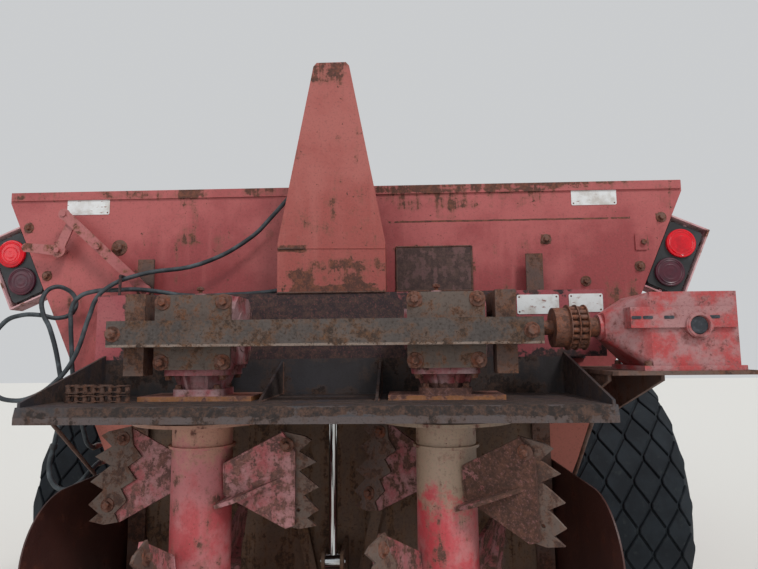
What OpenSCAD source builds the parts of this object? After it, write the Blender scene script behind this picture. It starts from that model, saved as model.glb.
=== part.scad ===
// Towed manure spreader with a flared box, two vertical beaters and a sliding rear gate.
// X runs across the machine, +Y points to the drawbar, Z is up from the ground.
// Lengths are written from the rear face of the rear wall, and the whole machine is then
// moved along Y so that the middle of its length lies at zero.

/* [Box] */
// Length of the load box, outside
box_length = 4700; // [4400:50:5000]
// Half width across the top of the box, outside
top_half = 1345; // [1290:5:1360]
// Half width across the floor, outside
floor_half = 705; // [695:5:715]
// Height of the floor above the ground
floor_z = 830; // [820:5:840]
// Rise of the sloping side above the floor
side_rise = 1455; // [1400:5:1500]
// Height of the rail along the top
top_rail_h = 42; // [30:1:60]
// Width of the rail along the top
top_rail_w = 70; // [50:1:90]
// Thickness of the box plates
plate_t = 10; // [6:1:12]
// Depth of the pressed ribs on the sides
rib_depth = 34; // [25:1:38]
// Width of a rib along the box
rib_w = 60; // [40:1:80]

/* [Chassis] */
// Width of a chassis rail
rail_w = 60; // [50:1:80]
// Height of a chassis rail
rail_h = 150; // [140:1:160]
// Wall of the rails and the drawbar
tube_t = 8; // [5:1:10]
// Size of a cross member
cross_size = 50; // [40:1:60]
// Distance from the rear wall to the axle
axle_y = 1500; // [1300:10:1800]
// Size of the square axle beam
axle_size = 150; // [120:5:160]
// Diameter of a wheel spindle
spindle_d = 80; // [60:1:90]
// Width of the drawbar
tongue_w = 150; // [120:5:180]
// Height of the drawbar
tongue_h = 190; // [150:5:200]
// Length of the drawbar in front of the box
tongue_reach = 1450; // [1300:10:1700]
// Hole for the hitch pin
hitch_pin_d = 38; // [30:1:45]

/* [Wheels] */
// Outer diameter of a tyre
tyre_d = 1600; // [1560:10:1620]
// Width of a tyre
tyre_w = 675; // [600:5:680]
// Diameter over the bead seat of a rim
rim_d = 660; // [640:10:700]
// Distance from the middle of the machine to the middle of a tyre
wheel_x = 1368; // [1362:2:1390]

/* [Gate] */
// Half width of the rear opening
opening_half = 690; // [670:5:700]
// Top of the rear opening above the ground
opening_top = 1580; // [1540:10:1600]
// Height of the gate plate
gate_h = 800; // [780:5:820]
// Thickness of the gate plate
gate_t = 8; // [6:1:10]
// Travel of the gate, which sets the length of its cylinder and the height of the tower
gate_travel = 620; // [600:10:640]
// Diameter of the cylinder's rod
rod_d = 32; // [25:1:40]
// Outer diameter of the cylinder's barrel
barrel_d = 80; // [70:1:90]

/* [Beater head] */
// Distance from the middle to a beater's axis
beater_x = 375; // [370:1:385]
// Distance from the rear wall to the beaters' axes
beater_y = 445; // [435:5:460]
// Reach of the knives from a beater's axis
beater_reach = 368; // [350:1:370]
// Outer diameter of a beater's tube
beater_tube_d = 182; // [160:2:200]
// Top face of the tray above the ground
tray_z = 1527; // [1517:1:1535]
// Distance from the rear wall to the tray's rear edge
tray_reach = 705; // [690:5:720]
// Half width of the tray
tray_half = 800; // [780:5:810]
// Height of the cross shaft above the ground
cross_z = 1738; // [1732:1:1745]
// Diameter of the cross shaft
cross_d = 45; // [35:1:50]
// Width and height of a gearbox cover
cover_size = 228; // [210:2:232]
// Height of the head beam
beam_h = 228; // [220:1:240]
// Bottom of the head beam above the ground
beam_z = 1648; // [1644:1:1660]
// Reach of the head beam to the left of the middle
beam_left = 832; // [820:1:850]
// Reach of the head beam to the right of the middle
beam_right = 940; // [900:1:960]

/* [Drive] */
// Distance from the outside of the box's side to the middle of the line shaft
shaft_out = 60.6; // [58:0.1:66]
// Diameter of the line shaft
line_d = 40; // [30:1:45]
// Height of the power take-off shaft above the ground
pto_z = 765; // [755:5:790]
// Diameter of the power take-off guard tube
pto_d = 90; // [70:2:100]

/* [Details] */
// Outer diameter of a hydraulic hose and of the pipe that it joins
hose_d = 17; // [16:0.5:18]
// Diameter of a tail lamp
lamp_d = 112; // [100:1:116]

/* [Hidden] */
$fn = 48;

// Colours of the finishes
paint_red = "#A5494B";
gearbox_red = "#C03A3A";
rust = "#5A3A2C";
gate_brown = "#4A3A30";
tray_brown = "#3E2C28";
shield_maroon = "#3A1D18";
tyre_black = "#2E3640";
steel = "#B8B8B4";
hose_black = "#2B3238";
lamp_black = "#1A1A1E";
lamp_red = "#E01020";
pink_paint = "#C8908A";

// Clearances
running_gap = 0.5;
edge = 0.3;

// Heights and slopes of the box
rim_z = floor_z + side_rise;
top_z = rim_z + top_rail_h;
floor_t = 10;
rail_top = floor_z - floor_t;
rail_bottom = rail_top - rail_h;
slope = (top_half - floor_half) / side_rise;
slope_angle = atan(slope);
wall_run = plate_t / cos(slope_angle);
function wall_x(z) = floor_half + slope * (z - floor_z);
line_x = wall_x(cross_z) + shaft_out;

// Places along the machine
rail_inner = floor_half - rail_w;
pan_reach = beater_y + beater_reach + 18;
clevis_len = 150;
tip_y = box_length + tongue_reach + clevis_len;
middle_y = (tip_y - pan_reach) / 2;
beam_rear = -250;
beam_front = -160;

// Helpers that draw plain shapes
module placed() { translate([0, -middle_y, 0]) children(); }
module both_sides() { for (s = [0, 1]) mirror([s, 0, 0]) children(); }
// Stands an X-Z outline up and gives it a thickness from y0 towards +Y
module upright(y0, t) { translate([0, y0 + t, 0]) rotate([90, 0, 0]) linear_extrude(t) children(); }
// Stands a Y-Z outline up and gives it a thickness from x0 towards +X
module sideways(x0, t) { translate([x0, 0, 0]) rotate([90, 0, 90]) linear_extrude(t) children(); }
module block(x0, x1, y0, y1, z0, z1) { translate([x0, y0, z0]) cube([x1 - x0, y1 - y0, z1 - z0]); }
module rod_x(x0, x1, y, z, d) { translate([x0, y, z]) rotate([0, 90, 0]) cylinder(h = x1 - x0, d = d); }
module rod_y(x, y0, y1, z, d) { translate([x, y1, z]) rotate([90, 0, 0]) cylinder(h = y1 - y0, d = d); }
module rod_z(x, y, z0, z1, d) { translate([x, y, z0]) cylinder(h = z1 - z0, d = d); }
module rounded(w, h, r) {
    square([w, h - 2 * r], center = true);
    square([w - 2 * r, h], center = true);
    for (x = [-1, 1], y = [-1, 1]) translate([x * (w / 2 - r), y * (h / 2 - r)]) circle(r);
}
// Flat link between two round ends. Its sides are tangent to both, or at a smaller waist a little inside
module link(a, ra, b, rb, waist = 1) {
    d = norm(b - a);
    lean = asin((ra - rb) / d);
    turn = atan2(b[1] - a[1], b[0] - a[0]);
    wa = ra * waist;
    wb = rb * waist;
    translate(a) circle(ra);
    translate(b) circle(rb);
    translate(a) rotate(turn) polygon([
        [wa * sin(lean), wa * cos(lean)], [d + wb * sin(lean), wb * cos(lean)],
        [d + wb * sin(lean), -wb * cos(lean)], [wa * sin(lean), -wa * cos(lean)]]);
}

// Chassis: two box rails, joined by cross members below the return run of the apron
cross_ys = [330, 1000, 2000, 2700, box_length - 1300, box_length - 600];
module rails() {
    color(rust) both_sides() difference() {
        block(rail_inner, floor_half, plate_t, box_length, rail_bottom, rail_top);
        block(rail_inner + tube_t, floor_half - tube_t, 0, box_length + 1,
            rail_bottom + tube_t, rail_top - tube_t);
    }
}
module cross_members() {
    color(rust) for (y = cross_ys)
        block(-rail_inner, rail_inner, y - cross_size / 2, y + cross_size / 2,
            rail_bottom, rail_bottom + cross_size);
}

// Axle: square beam below the rails, with a raised block and a spindle at each end
wheel_z = tyre_d / 2;
tyre_inner = wheel_x - tyre_w / 2;
knuckle_x = tyre_inner - 70;
knuckle_w = 80;
hub_inner = wheel_x - 130;
hub_outer = wheel_x + 60;
module axle() {
    beam_top = rail_bottom;
    color(rust) {
        difference() {
            block(-knuckle_x, knuckle_x, axle_y - axle_size / 2, axle_y + axle_size / 2,
                beam_top - axle_size, beam_top);
            block(-knuckle_x - 1, knuckle_x + 1, axle_y - axle_size / 2 + tube_t,
                axle_y + axle_size / 2 - tube_t, beam_top - axle_size + tube_t, beam_top - tube_t);
        }
        both_sides() {
            sideways(knuckle_x - knuckle_w, knuckle_w) translate([axle_y, 0])
                link([0, beam_top - axle_size / 2], axle_size * 0.58, [0, wheel_z], axle_size * 0.5, 0.95);
            rod_x(knuckle_x, hub_outer - 20, axle_y, wheel_z, spindle_d);
            rod_x(knuckle_x, knuckle_x + 25, axle_y, wheel_z, spindle_d + 50);
        }
    }
}

// Drawbar: closed tube below the cross members, running forward to the hitch
tongue_top = rail_bottom;
tongue_rear = 2600;
tongue_front = box_length + tongue_reach;
module tongue() {
    color(paint_red) difference() {
        block(-tongue_w / 2, tongue_w / 2, tongue_rear, tongue_front, tongue_top - tongue_h, tongue_top);
        block(-tongue_w / 2 + tube_t, tongue_w / 2 - tube_t, tongue_rear - 1, tongue_front - tube_t,
            tongue_top - tongue_h + tube_t, tongue_top - tube_t);
    }
}

// Hitch: two plates with a vertical pin hole, on an end plate
clevis_t = 25;
clevis_space = 60;
clevis_z = tongue_top - tongue_h / 2;
clevis_r = 55;
clevis_hole_y = tip_y - clevis_r;
module hitch_clevis() {
    color(rust) {
        block(-tongue_w / 2, tongue_w / 2, tongue_front, tongue_front + 20,
            tongue_top - tongue_h, tongue_top);
        for (s = [-1, 1])
            translate([0, 0, clevis_z + s * (clevis_space + clevis_t) / 2 - clevis_t / 2])
                difference() {
                    linear_extrude(clevis_t) {
                        translate([0, clevis_hole_y]) circle(clevis_r);
                        translate([-clevis_r, tongue_front + 20])
                            square([2 * clevis_r, clevis_hole_y - tongue_front - 20]);
                    }
                    translate([0, clevis_hole_y, -1]) cylinder(h = clevis_t + 2, d = hitch_pin_d);
                }
    }
}

// Parking jack: fixed tube beside the drawbar, and a leg that slides up inside it
jack_x = -165;
jack_y = tongue_front - 600;
jack_tube_d = 84;
jack_leg_d = 64;
jack_bottom = 350;
jack_top = 930;
jack_travel = 300;
jack_foot_t = 10;
module jack_tube() {
    color(gearbox_red) {
        difference() {
            rod_z(jack_x, jack_y, jack_bottom, jack_top, jack_tube_d);
            rod_z(jack_x, jack_y, jack_bottom - 1, jack_top - 20, jack_leg_d + 2 * running_gap);
        }
        // Saddle to the drawbar's side
        difference() {
            block(jack_x, -tongue_w / 2, jack_y - 60, jack_y + 60,
                tongue_top - tongue_h + 20, tongue_top - 20);
            rod_z(jack_x, jack_y, jack_bottom, jack_top, jack_tube_d - 2);
        }
        // Crank head with its handle
        block(jack_x - 50, jack_x + 50, jack_y - 50, jack_y + 50, jack_top, jack_top + 60);
        rod_x(jack_x - 130, jack_x - 50, jack_y, jack_top + 30, 22);
        block(jack_x - 142, jack_x - 130, jack_y - 15, jack_y + 200, jack_top + 15, jack_top + 45);
        rod_x(jack_x - 260, jack_x - 130, jack_y + 180, jack_top + 30, 26);
    }
}
module jack_leg() {
    color(steel) {
        rod_z(jack_x, jack_y, jack_foot_t, jack_top - 20 - jack_travel - 15, jack_leg_d);
        rod_z(jack_x, jack_y, 0, jack_foot_t, 220);
    }
}

// Box sides: sloping plate, pressed ribs outside and a square rail along the top
rib_ys = [150, 700, 2400, 3100, box_length - 850, box_length - 100];
short_rib_z = tyre_d + 60;
weld = 2;
module rib(y, z0) {
    run = rib_depth / cos(slope_angle);
    color(paint_red) upright(y - rib_w / 2, rib_w)
        polygon([[wall_x(z0) - weld, z0], [wall_x(rim_z) - weld, rim_z], [wall_x(rim_z), rim_z],
            [wall_x(rim_z - 60) + run * 0.5, rim_z - 60], [wall_x(rim_z - 140) + run, rim_z - 140],
            [wall_x(z0 + 120) + run, z0 + 120], [wall_x(z0 + 20) + run * 0.3, z0 + 20]]);
}
module box_side() {
    color(paint_red) {
        upright(plate_t, box_length - 2 * plate_t) {
            polygon([[wall_x(rail_top) - wall_run, rail_top], [wall_x(rail_top), rail_top],
                [wall_x(rim_z), rim_z], [wall_x(rim_z) - wall_run, rim_z]]);
            translate([top_half - top_rail_w, rim_z]) square([top_rail_w, top_rail_h]);
        }
        for (y = rib_ys) rib(y, floor_z);
        rib(axle_y, short_rib_z);
    }
}
module box_side_left() { mirror([1, 0, 0]) box_side(); }
module box_side_right() { box_side(); }

// Outline of the box from behind, down to z0
module box_outline(z0) {
    polygon([[-top_half, top_z], [-top_half, rim_z], [-wall_x(z0), z0],
        [wall_x(z0), z0], [top_half, rim_z], [top_half, top_z]]);
}

// Front wall: plate with two upright stiffeners and one across
module front_wall() {
    y1 = box_length;
    color(paint_red) {
        upright(y1 - plate_t, plate_t) box_outline(rail_top);
        for (x = [-430, 430]) block(x - 30, x + 30, y1, y1 + 50, floor_z, top_z - 60);
        block(-wall_x(1500) + 60, wall_x(1500) - 60, y1, y1 + 30, 1500, 1560);
    }
}

// Rear wall: plate with the gate's opening, jambs down to the sill and a folded top edge
jamb_half = tray_half;
jamb_bottom = 500;
jamb_join = floor_z + (jamb_half - floor_half) / slope;
module rear_wall() {
    color(paint_red) {
        upright(0, plate_t) difference() {
            union() {
                box_outline(jamb_join);
                translate([-jamb_half, jamb_bottom]) square([2 * jamb_half, jamb_join - jamb_bottom]);
            }
            translate([-opening_half, jamb_bottom - 1])
                square([2 * opening_half, opening_top - jamb_bottom + 1]);
        }
        block(-top_half + 4, top_half - 4, -6, 0, top_z - 34, top_z);
        // Patch plate welded over a worn place
        block(228, 522, -4, 0, 1903, 2078);
    }
}

// Floor plate between the walls, inside the apron's loop
apron_r = 62.5;
chain_t = 25;
apron_z = floor_z + chain_t - apron_r;
rear_shaft_y = 130;
front_shaft_y = box_length - 150;
module floor_plate() {
    half = wall_x(rail_top) - wall_run;
    color(rust) block(-half, half, rear_shaft_y + 50, front_shaft_y - 50, rail_top, floor_z);
}

// Apron: two flat chains round the floor, with slats across both runs
chain_x = 350;
chain_w = 40;
slat_pitch = 440;
slat_w = 45;
module apron() {
    run = front_shaft_y - rear_shaft_y;
    slats = floor((run - 100) / slat_pitch);
    color(rust) {
        for (s = [-1, 1]) sideways(s * chain_x - chain_w / 2, chain_w) difference() {
            translate([rear_shaft_y, apron_z]) link([0, 0], apron_r, [run, 0], apron_r);
            translate([rear_shaft_y, apron_z])
                link([0, 0], apron_r - chain_t, [run, 0], apron_r - chain_t);
        }
        for (i = [0 : slats], z = [floor_z, apron_z - apron_r])
            block(-rail_inner + 15, rail_inner - 15, rear_shaft_y + 60 + i * slat_pitch,
                rear_shaft_y + 60 + i * slat_pitch + slat_w, z, z + chain_t);
    }
}
module apron_shafts() {
    color(steel) for (y = [rear_shaft_y, front_shaft_y]) {
        rod_x(-rail_inner, rail_inner, y, apron_z, 40);
        for (s = [-1, 1]) {
            rod_x(s * chain_x - 18, s * chain_x + 18, y, apron_z, 2 * (apron_r - chain_t) - 2 * edge);
            rod_x(s > 0 ? rail_inner - 22 : -rail_inner, s > 0 ? rail_inner : -rail_inner + 22,
                y, apron_z, 54);
        }
    }
}

// Gate guides: angle rails that hold the gate's edges against the rear wall
gate_half = jamb_half - 32;
gate_back = 14;
gate_z = 840;
guide_x = gate_half + 7;
guide_top = 2038;
guide_d = 44;
module gate_guides() {
    color(rust) both_sides() {
        block(guide_x, guide_x + 12, -guide_d, 0, gate_z - 40, guide_top);
        block(guide_x - 52, guide_x + 12, -guide_d, -guide_d + 10, gate_z - 40, guide_top);
    }
}

// Gate: plate with two leaning stiffeners and a lug for the cylinder's rod
rod_y = -190;
lug_z = 960;
lug_r = 34;
pin_d = 25;
module gate() {
    face = -gate_back - gate_t;
    color(gate_brown) {
        block(-gate_half, gate_half, face, -gate_back, gate_z, gate_z + gate_h);
        both_sides() upright(face - 34, 34)
            polygon([[70, gate_z + 20], [110, gate_z + 20], [290, gate_z + gate_h - 20],
                [250, gate_z + gate_h - 20]]);
        block(-gate_half + 60, gate_half - 60, face - 30, face, gate_z, gate_z + 18);
        for (s = [-1, 1]) difference() {
            sideways(s > 0 ? 26 : -38, 12) union() {
                translate([rod_y, lug_z]) circle(lug_r);
                polygon([[rod_y, lug_z - lug_r], [rod_y, lug_z + lug_r], [face, lug_z + lug_r],
                    [face, lug_z - lug_r - 60]]);
            }
            rod_x(-60, 60, rod_y, lug_z, pin_d + 2 * running_gap);
        }
    }
}

// Gate cylinder: the barrel hangs on a pin in the tower, its rod holds the gate
rod_gland_z = beam_z + beam_h + 40;
gland_h = 35;
piston_h = 30;
piston_z = rod_gland_z + gland_h + 15;
barrel_top = piston_z + piston_h + gate_travel + 48;
barrel_bore = 56;
barrel_pin_z = barrel_top + 12;
port_y = rod_y + barrel_d / 2 + 18;
port_zs = [rod_gland_z + 60, barrel_top - 45];
module cylinder_rod() {
    color(steel) {
        rod_z(0, rod_y, lug_z, piston_z, rod_d);
        rod_z(0, rod_y, piston_z, piston_z + piston_h, barrel_bore - 2 * running_gap);
        rod_x(-25, 25, rod_y, lug_z, 56);
        rod_x(-42, 42, rod_y, lug_z, pin_d);
    }
}
module cylinder_barrel() {
    color(gearbox_red) {
        difference() {
            rod_z(0, rod_y, rod_gland_z, barrel_top, barrel_d);
            rod_z(0, rod_y, rod_gland_z + gland_h, barrel_top - 20, barrel_bore);
            rod_z(0, rod_y, rod_gland_z - 1, rod_gland_z + gland_h + 1, rod_d + 2 * running_gap);
        }
        // Ports for the hoses
        for (z = port_zs) rod_y(0, rod_y + barrel_bore / 2 + 4, port_y, z, 2 * hose_d);
        rod_x(-22, 22, rod_y, barrel_pin_z, 50);
        pin_half = tower_x(barrel_pin_z + pin_d / 2) - tower_t - edge;
        rod_x(-pin_half, pin_half, rod_y, barrel_pin_z, pin_d);
    }
}

// Tower: folded plate channel over the cylinder, open towards the box, tapering to its top
tower_t = 8;
tower_low = 191;
tower_high = 63;
tower_knee = 2056;
tower_top = barrel_top + 60;
tower_rear = beam_rear;
tower_front = -90;
tower_foot = beam_z + beam_h;
function tower_x(z) = tower_low + (tower_high - tower_low) * (z - tower_knee) / (tower_top - tower_knee);
module tower_outline(inset) {
    foot = inset > 0 ? tower_foot - 1 : tower_foot;
    top = tower_top - inset;
    polygon([[-tower_low + inset, foot], [-tower_low + inset, tower_knee],
        [-tower_x(top - 14) + inset, top - 14], [-tower_x(top - 14) + inset + 12, top],
        [tower_x(top - 14) - inset - 12, top], [tower_x(top - 14) - inset, top - 14],
        [tower_low - inset, tower_knee], [tower_low - inset, foot]]);
}
module tower() {
    color(paint_red) difference() {
        upright(tower_rear, tower_front - tower_rear) tower_outline(0);
        upright(tower_rear + tower_t, tower_front - tower_rear) tower_outline(tower_t);
    }
}

// Head beam: channel across the rear, open towards the box, on two end brackets
beam_t = 10;
bracket_t = 14;
hook_y = -106;
hook_top = 1966;
module head_beam() {
    color(rust) {
        difference() {
            block(-beam_left, beam_right, beam_rear, beam_front, beam_z, beam_z + beam_h);
            block(-beam_left - 1, beam_right + 1, beam_rear + beam_t, beam_front + 1,
                beam_z + beam_t, beam_z + beam_h - beam_t);
            rod_z(0, rod_y, beam_z - 1, beam_z + beam_h + 1, rod_d + 24);
        }
        for (end = [[0, beam_right], [1, beam_left]]) mirror([end[0], 0, 0]) {
            block(end[1] - bracket_t, end[1], beam_rear + beam_t, 0,
                beam_z + beam_t, beam_z + beam_h - beam_t);
            block(guide_x + 20, end[1], -12, 0, beam_z - 10, beam_z + beam_h);
        }
        // Hook that keeps the hoses on the beam's left end
        rod_z(-beam_left + bracket_t / 2, hook_y, beam_z + beam_h - 20, hook_top, 11);
        rod_y(-beam_left + bracket_t / 2, hook_y, hook_y + 34, hook_top, 11);
    }
}

// Tray below the gearboxes: floor, back wall, sloping ends, gussets and an angle along its edge
tray_t = 8;
stub_d = 60;
lip_half = tray_half + 6;
lip_upper = 27;
lip_h = 46;
lip_lean = 6;
module tray() {
    floor_low = tray_z - tray_t;
    color(tray_brown) {
        difference() {
            block(-tray_half, tray_half, -tray_reach, beam_rear, floor_low, tray_z);
            for (s = [-1, 1]) rod_z(s * beater_x, -beater_y, floor_low - 1, tray_z + 1, stub_d + 40);
        }
        block(-tray_half, tray_half, beam_rear, beam_rear + tray_t, floor_low, beam_z);
        both_sides() {
            sideways(tray_half - tray_t, tray_t) polygon([[beam_rear, tray_z],
                [-tray_reach, tray_z], [-tray_reach, tray_z + 12], [beam_rear, beam_z + 15]]);
            sideways(166, tray_t)
                polygon([[beam_rear, tray_z], [beam_rear - 330, tray_z], [beam_rear, beam_z - 8]]);
        }
        // Folded angle along the rear edge: a leaning upper face over an upright one
        sideways(-lip_half, 2 * lip_half) translate([-tray_reach, tray_z])
            polygon([[0, 0], [lip_lean - 14, -lip_upper], [lip_lean - 14, -lip_h], [lip_lean - 8, -lip_h],
                [lip_lean - 8, -lip_upper - 2], [6, -tray_t], [34, -tray_t], [34, 0]]);
    }
}

// Guard channel behind the cross shaft, on two short posts with arms to the head beam
cover_t = 12;
box_depth = 108;
cover_y = -beater_y - box_depth - cover_t;
channel_left = 610;
channel_right = 645;
channel_z = 1688;
channel_h = 76;
channel_d = 50;
post_x = 519;
post_w = 60;
post_d = 70;
module guard_channel() {
    color(rust) difference() {
        block(-channel_left, channel_right, cover_y - channel_d, cover_y,
            channel_z, channel_z + channel_h);
        block(-channel_left - 1, channel_right + 1, cover_y - channel_d + 7, cover_y + 1,
            channel_z + 7, channel_z + channel_h - 7);
    }
}
module guard_posts() {
    post_low = 1604;
    post_high = 1847;
    color(rust) both_sides() {
        block(post_x, post_x + post_w, cover_y, cover_y + post_d, post_low, post_high);
        block(post_x, post_x + post_w, cover_y + post_d, beam_rear, post_high - 55, post_high);
    }
}

// Beater gearboxes: cast housing on a ribbed neck and a round base, above the tray
house_w = 216;
house_low = tray_z + 94;
house_top = house_low + 222;
base_low = tray_z + 14;
base_flange = 158;
neck_flange = 204;
// Rounded square flange with a bolt hole near each corner
module bolted_flange(w) {
    difference() {
        rounded(w, w, w * 0.22);
        for (x = [-1, 1], y = [-1, 1]) translate([x, y] * (w / 2 - 20)) circle(d = 13);
    }
}
module beater_gearbox() {
    color(gearbox_red) difference() {
        union() {
            translate([0, 0, house_low]) linear_extrude(house_top - house_low)
                rounded(house_w, 2 * box_depth, 22);
            rod_x(-house_w / 2 - 14, house_w / 2 + 14, 0, cross_z, 128);
            translate([0, 0, base_low]) cylinder(h = house_low - base_low, r1 = 58, r2 = 80);
            // Base flange with its bolt holes, and the flange below the housing
            translate([0, 0, base_low]) linear_extrude(20) bolted_flange(base_flange);
            translate([0, 0, house_low - 18]) linear_extrude(19) bolted_flange(neck_flange);
            for (a = [0 : 45 : 315]) rotate(a + 22.5)
                sideways(-5, 10) polygon([[50, base_low + 19], [74, base_low + 19],
                    [92, house_low - 17], [50, house_low - 17]]);
            rod_z(-20, 0, house_top, house_top + 14, 34);
            // Ear of the casting towards the middle of the head
            sideways(house_w / 2 - 4, 16) translate([0, cross_z]) intersection() {
                circle(118);
                translate([-box_depth + 8, -104]) square([2 * box_depth - 16, 208]);
            }
        }
        rod_x(-house_w, house_w, 0, cross_z, cross_d + 2 * running_gap);
        rod_z(0, 0, base_low - 1, house_low + 25, stub_d + 2 * running_gap);
    }
    // Packing plate on the tray
    color(rust) difference() {
        block(-172, 172, -90, 90, tray_z, base_low);
        rod_z(0, 0, tray_z - 1, base_low + 1, stub_d + 40);
    }
}
module beater_gearboxes() {
    for (s = [-1, 1]) translate([s * beater_x, -beater_y, 0]) beater_gearbox();
}
module gearbox_covers() {
    color(rust) for (s = [-1, 1])
        upright(cover_y, cover_t) translate([s * beater_x, house_low + (cover_size - 6) / 2])
            rounded(cover_size, cover_size - 6, 14);
}

// Side gearbox: cone towards the coupler, ribbed body and an input boss for the line shaft
nose_x = 858;
side_body_x = 962;
side_end_x = line_x + 42;
side_low = 1616;
side_high = 1834;
side_depth = 118;
plug_x = 1093;
platform_t = 12;
module side_gearbox() {
    color(gearbox_red) difference() {
        union() {
            block(side_body_x, side_end_x, -beater_y - side_depth, -beater_y + side_depth,
                side_low, side_high);
            // Flat-sided cone from the nose to the body
            hull() {
                sideways(nose_x, 4) translate([-beater_y, cross_z]) rounded(84, 84, 20);
                sideways(side_body_x, 4) translate([-beater_y, (side_low + side_high) / 2])
                    rounded(2 * side_depth, side_high - side_low, 20);
            }
            rod_y(plug_x, -beater_y - side_depth - 16, -beater_y, cross_z - 2, 76);
            rod_x(nose_x - 12, nose_x, -beater_y, cross_z, 78);
            block(side_body_x - 60, side_end_x - 6, -beater_y - side_depth - 10, -beater_y,
                cross_z - 8, cross_z + 52);
            block(side_body_x - 30, side_end_x + 10, -beater_y - side_depth - 14,
                -beater_y + side_depth + 14, platform_z, side_low + 6);
            rod_y(line_x, -beater_y + side_depth, -beater_y + side_depth + 30, cross_z, 82);
        }
        rod_y(plug_x, -beater_y - side_depth - 17, -beater_y - side_depth - 8, cross_z - 2, 54);
        rod_x(nose_x - 20, nose_x + 90, -beater_y, cross_z, stub_d + 2 * running_gap);
        rod_y(line_x, -beater_y + 60, -beater_y + side_depth + 40, cross_z, line_d + 2 * running_gap);
    }
}
platform_z = side_low - 8;
module gearbox_platform() {
    color(rust) {
        block(nose_x - 20, line_x + 85, -beater_y - side_depth - 22, 0, platform_z - platform_t, platform_z);
        for (x = [nose_x - 12, nose_x + 142]) sideways(x, 10)
            polygon([[0, platform_z - platform_t], [-520, platform_z - platform_t],
                [-520, platform_z - platform_t - 18], [0, platform_z - 190]]);
    }
}

// Cross shaft through both beater gearboxes to the coupler and the side gearbox
coupler_x = 753;
coupler_w = 54;
module cross_shaft() {
    color(rust) {
        rod_x(-beater_x - 170, coupler_x, -beater_y, cross_z, cross_d);
        rod_x(coupler_x + coupler_w, nose_x + 80, -beater_y, cross_z, stub_d);
    }
}

// Chain coupler: two toothed hubs with one double roller chain wrapped round both
roller_n = 18;
roller_pitch_r = 58;
module chain_coupler() {
    color(rust) {
        translate([coupler_x, -beater_y, cross_z]) rotate([0, 90, 0]) {
            difference() {
                translate([0, 0, -44]) cylinder(h = 44, d = 122);
                translate([0, 0, -45]) cylinder(h = 46, d = cross_d + 2 * edge);
            }
            difference() {
                cylinder(h = coupler_w, r = roller_pitch_r - 6);
                translate([0, 0, -1]) cylinder(h = 12, d = cross_d + 2 * edge);
            }
            for (row = [3, 30]) for (i = [0 : roller_n - 1]) rotate(i * 360 / roller_n)
                translate([roller_pitch_r, 0, row]) cylinder(h = 21, d = 15);
            for (z = [0, 24, 51]) translate([0, 0, z]) difference() {
                cylinder(h = 3, r = roller_pitch_r + 12);
                translate([0, 0, -1]) cylinder(h = 5, r = roller_pitch_r - 8);
            }
        }
    }
}

// Beaters: tube with a top disc, a wide bottom disc and stub shafts in its bearings
tube_low = 620;
disc_z = tray_z - 67;
disc_d = 410;
foot_disc_d = 640;
collar_z = disc_z - 76;
sill_top = 590;
module beater_tube() {
    color(paint_red) {
        rod_z(0, 0, tube_low, disc_z, beater_tube_d);
        rod_z(0, 0, collar_z, collar_z + 8, beater_tube_d + 18);
        rod_z(0, 0, disc_z, disc_z + 10, disc_d);
        rod_z(0, 0, disc_z, house_low + 10, stub_d);
        rod_z(0, 0, tube_low - 10, tube_low, foot_disc_d);
        rod_z(0, 0, sill_top + 2, tube_low - 10, stub_d);
    }
}

// Paddles: arms welded to the tube, in rows that are turned against each other
// Columns: height of the row, angle of its first arm
row_table = [[1290, 0], [1035, 90], [785, 0]];
arm_t = 12;
arm_offset = 48;
arm_start = sqrt(pow(beater_tube_d / 2, 2) - pow(arm_offset - arm_t, 2)) + edge;
arm_pitch = 8;
knife_t = 8;
// A paddle stands off the beater's axis and leans over
module leaned() { translate([0, -arm_offset, 0]) rotate([arm_pitch, 0, 0]) children(); }
module arm() {
    leaned() {
        upright(-arm_t / 2, arm_t)
            polygon([[arm_start, 54], [arm_start, -42], [266, -142], [294, -132], [300, 88], [262, 147]]);
        // Gusset from the tube to the middle of the arm's outer end
        translate([arm_start, 0, -64]) rotate([0, -20, 0]) linear_extrude(arm_t)
            polygon([[2, 0], [-20, -38], [46, -50], [206, 0]]);
    }
}
module beater_paddles(turn) {
    color(gearbox_red) for (row = row_table, a = [0, 180]) translate([0, 0, row[0]])
        rotate(turn + row[1] + a) arm();
}

// Knives: leaning plates with large saw teeth on both edges, bolted to the arms
// Columns: height of a tooth, what it lacks of the beater's reach, height and place of the root below
outer_teeth = [[119, 20, 86, 310], [54, 7, 27, 308], [-22, 1, -46, 322], [-90, 3, -115, 330],
    [-138, 10, -148, 309]];
// Columns: height of a tooth, place of its tip, height and place of the root below
inner_teeth = [[54, 210, 23, 253], [-15, 222, -43, 267], [-78, 245, -115, 280]];
module knife() {
    leaned() upright(arm_t / 2, knife_t) difference() {
        polygon(concat(
            [for (t = outer_teeth, p = [0, 1]) p == 0 ? [beater_reach - t[1], t[0]] : [t[3], t[2]]],
            [[266, -141]],
            [for (i = [len(inner_teeth) - 1 : -1 : 0], p = [0, 1]) let (t = inner_teeth[i])
                p == 0 ? [t[3], t[2]] : [t[1], t[0]]],
            [[241, 89], [253, 148], [326, 132]]));
        for (hole = [[275, 109], [304, -91]]) translate(hole) circle(d = 12);
    }
}
module beater_knives(turn) {
    color(rust) for (row = row_table, a = [0, 180]) translate([0, 0, row[0]])
        rotate(turn + row[1] + a) knife();
}
left_turn = 180;
right_turn = -32;
module at_beater(s) { translate([s * beater_x, -beater_y, 0]) children(); }
module beater_tube_left() { at_beater(-1) beater_tube(); }
module beater_tube_right() { at_beater(1) beater_tube(); }
module beater_paddles_left() { at_beater(-1) beater_paddles(left_turn); }
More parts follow.
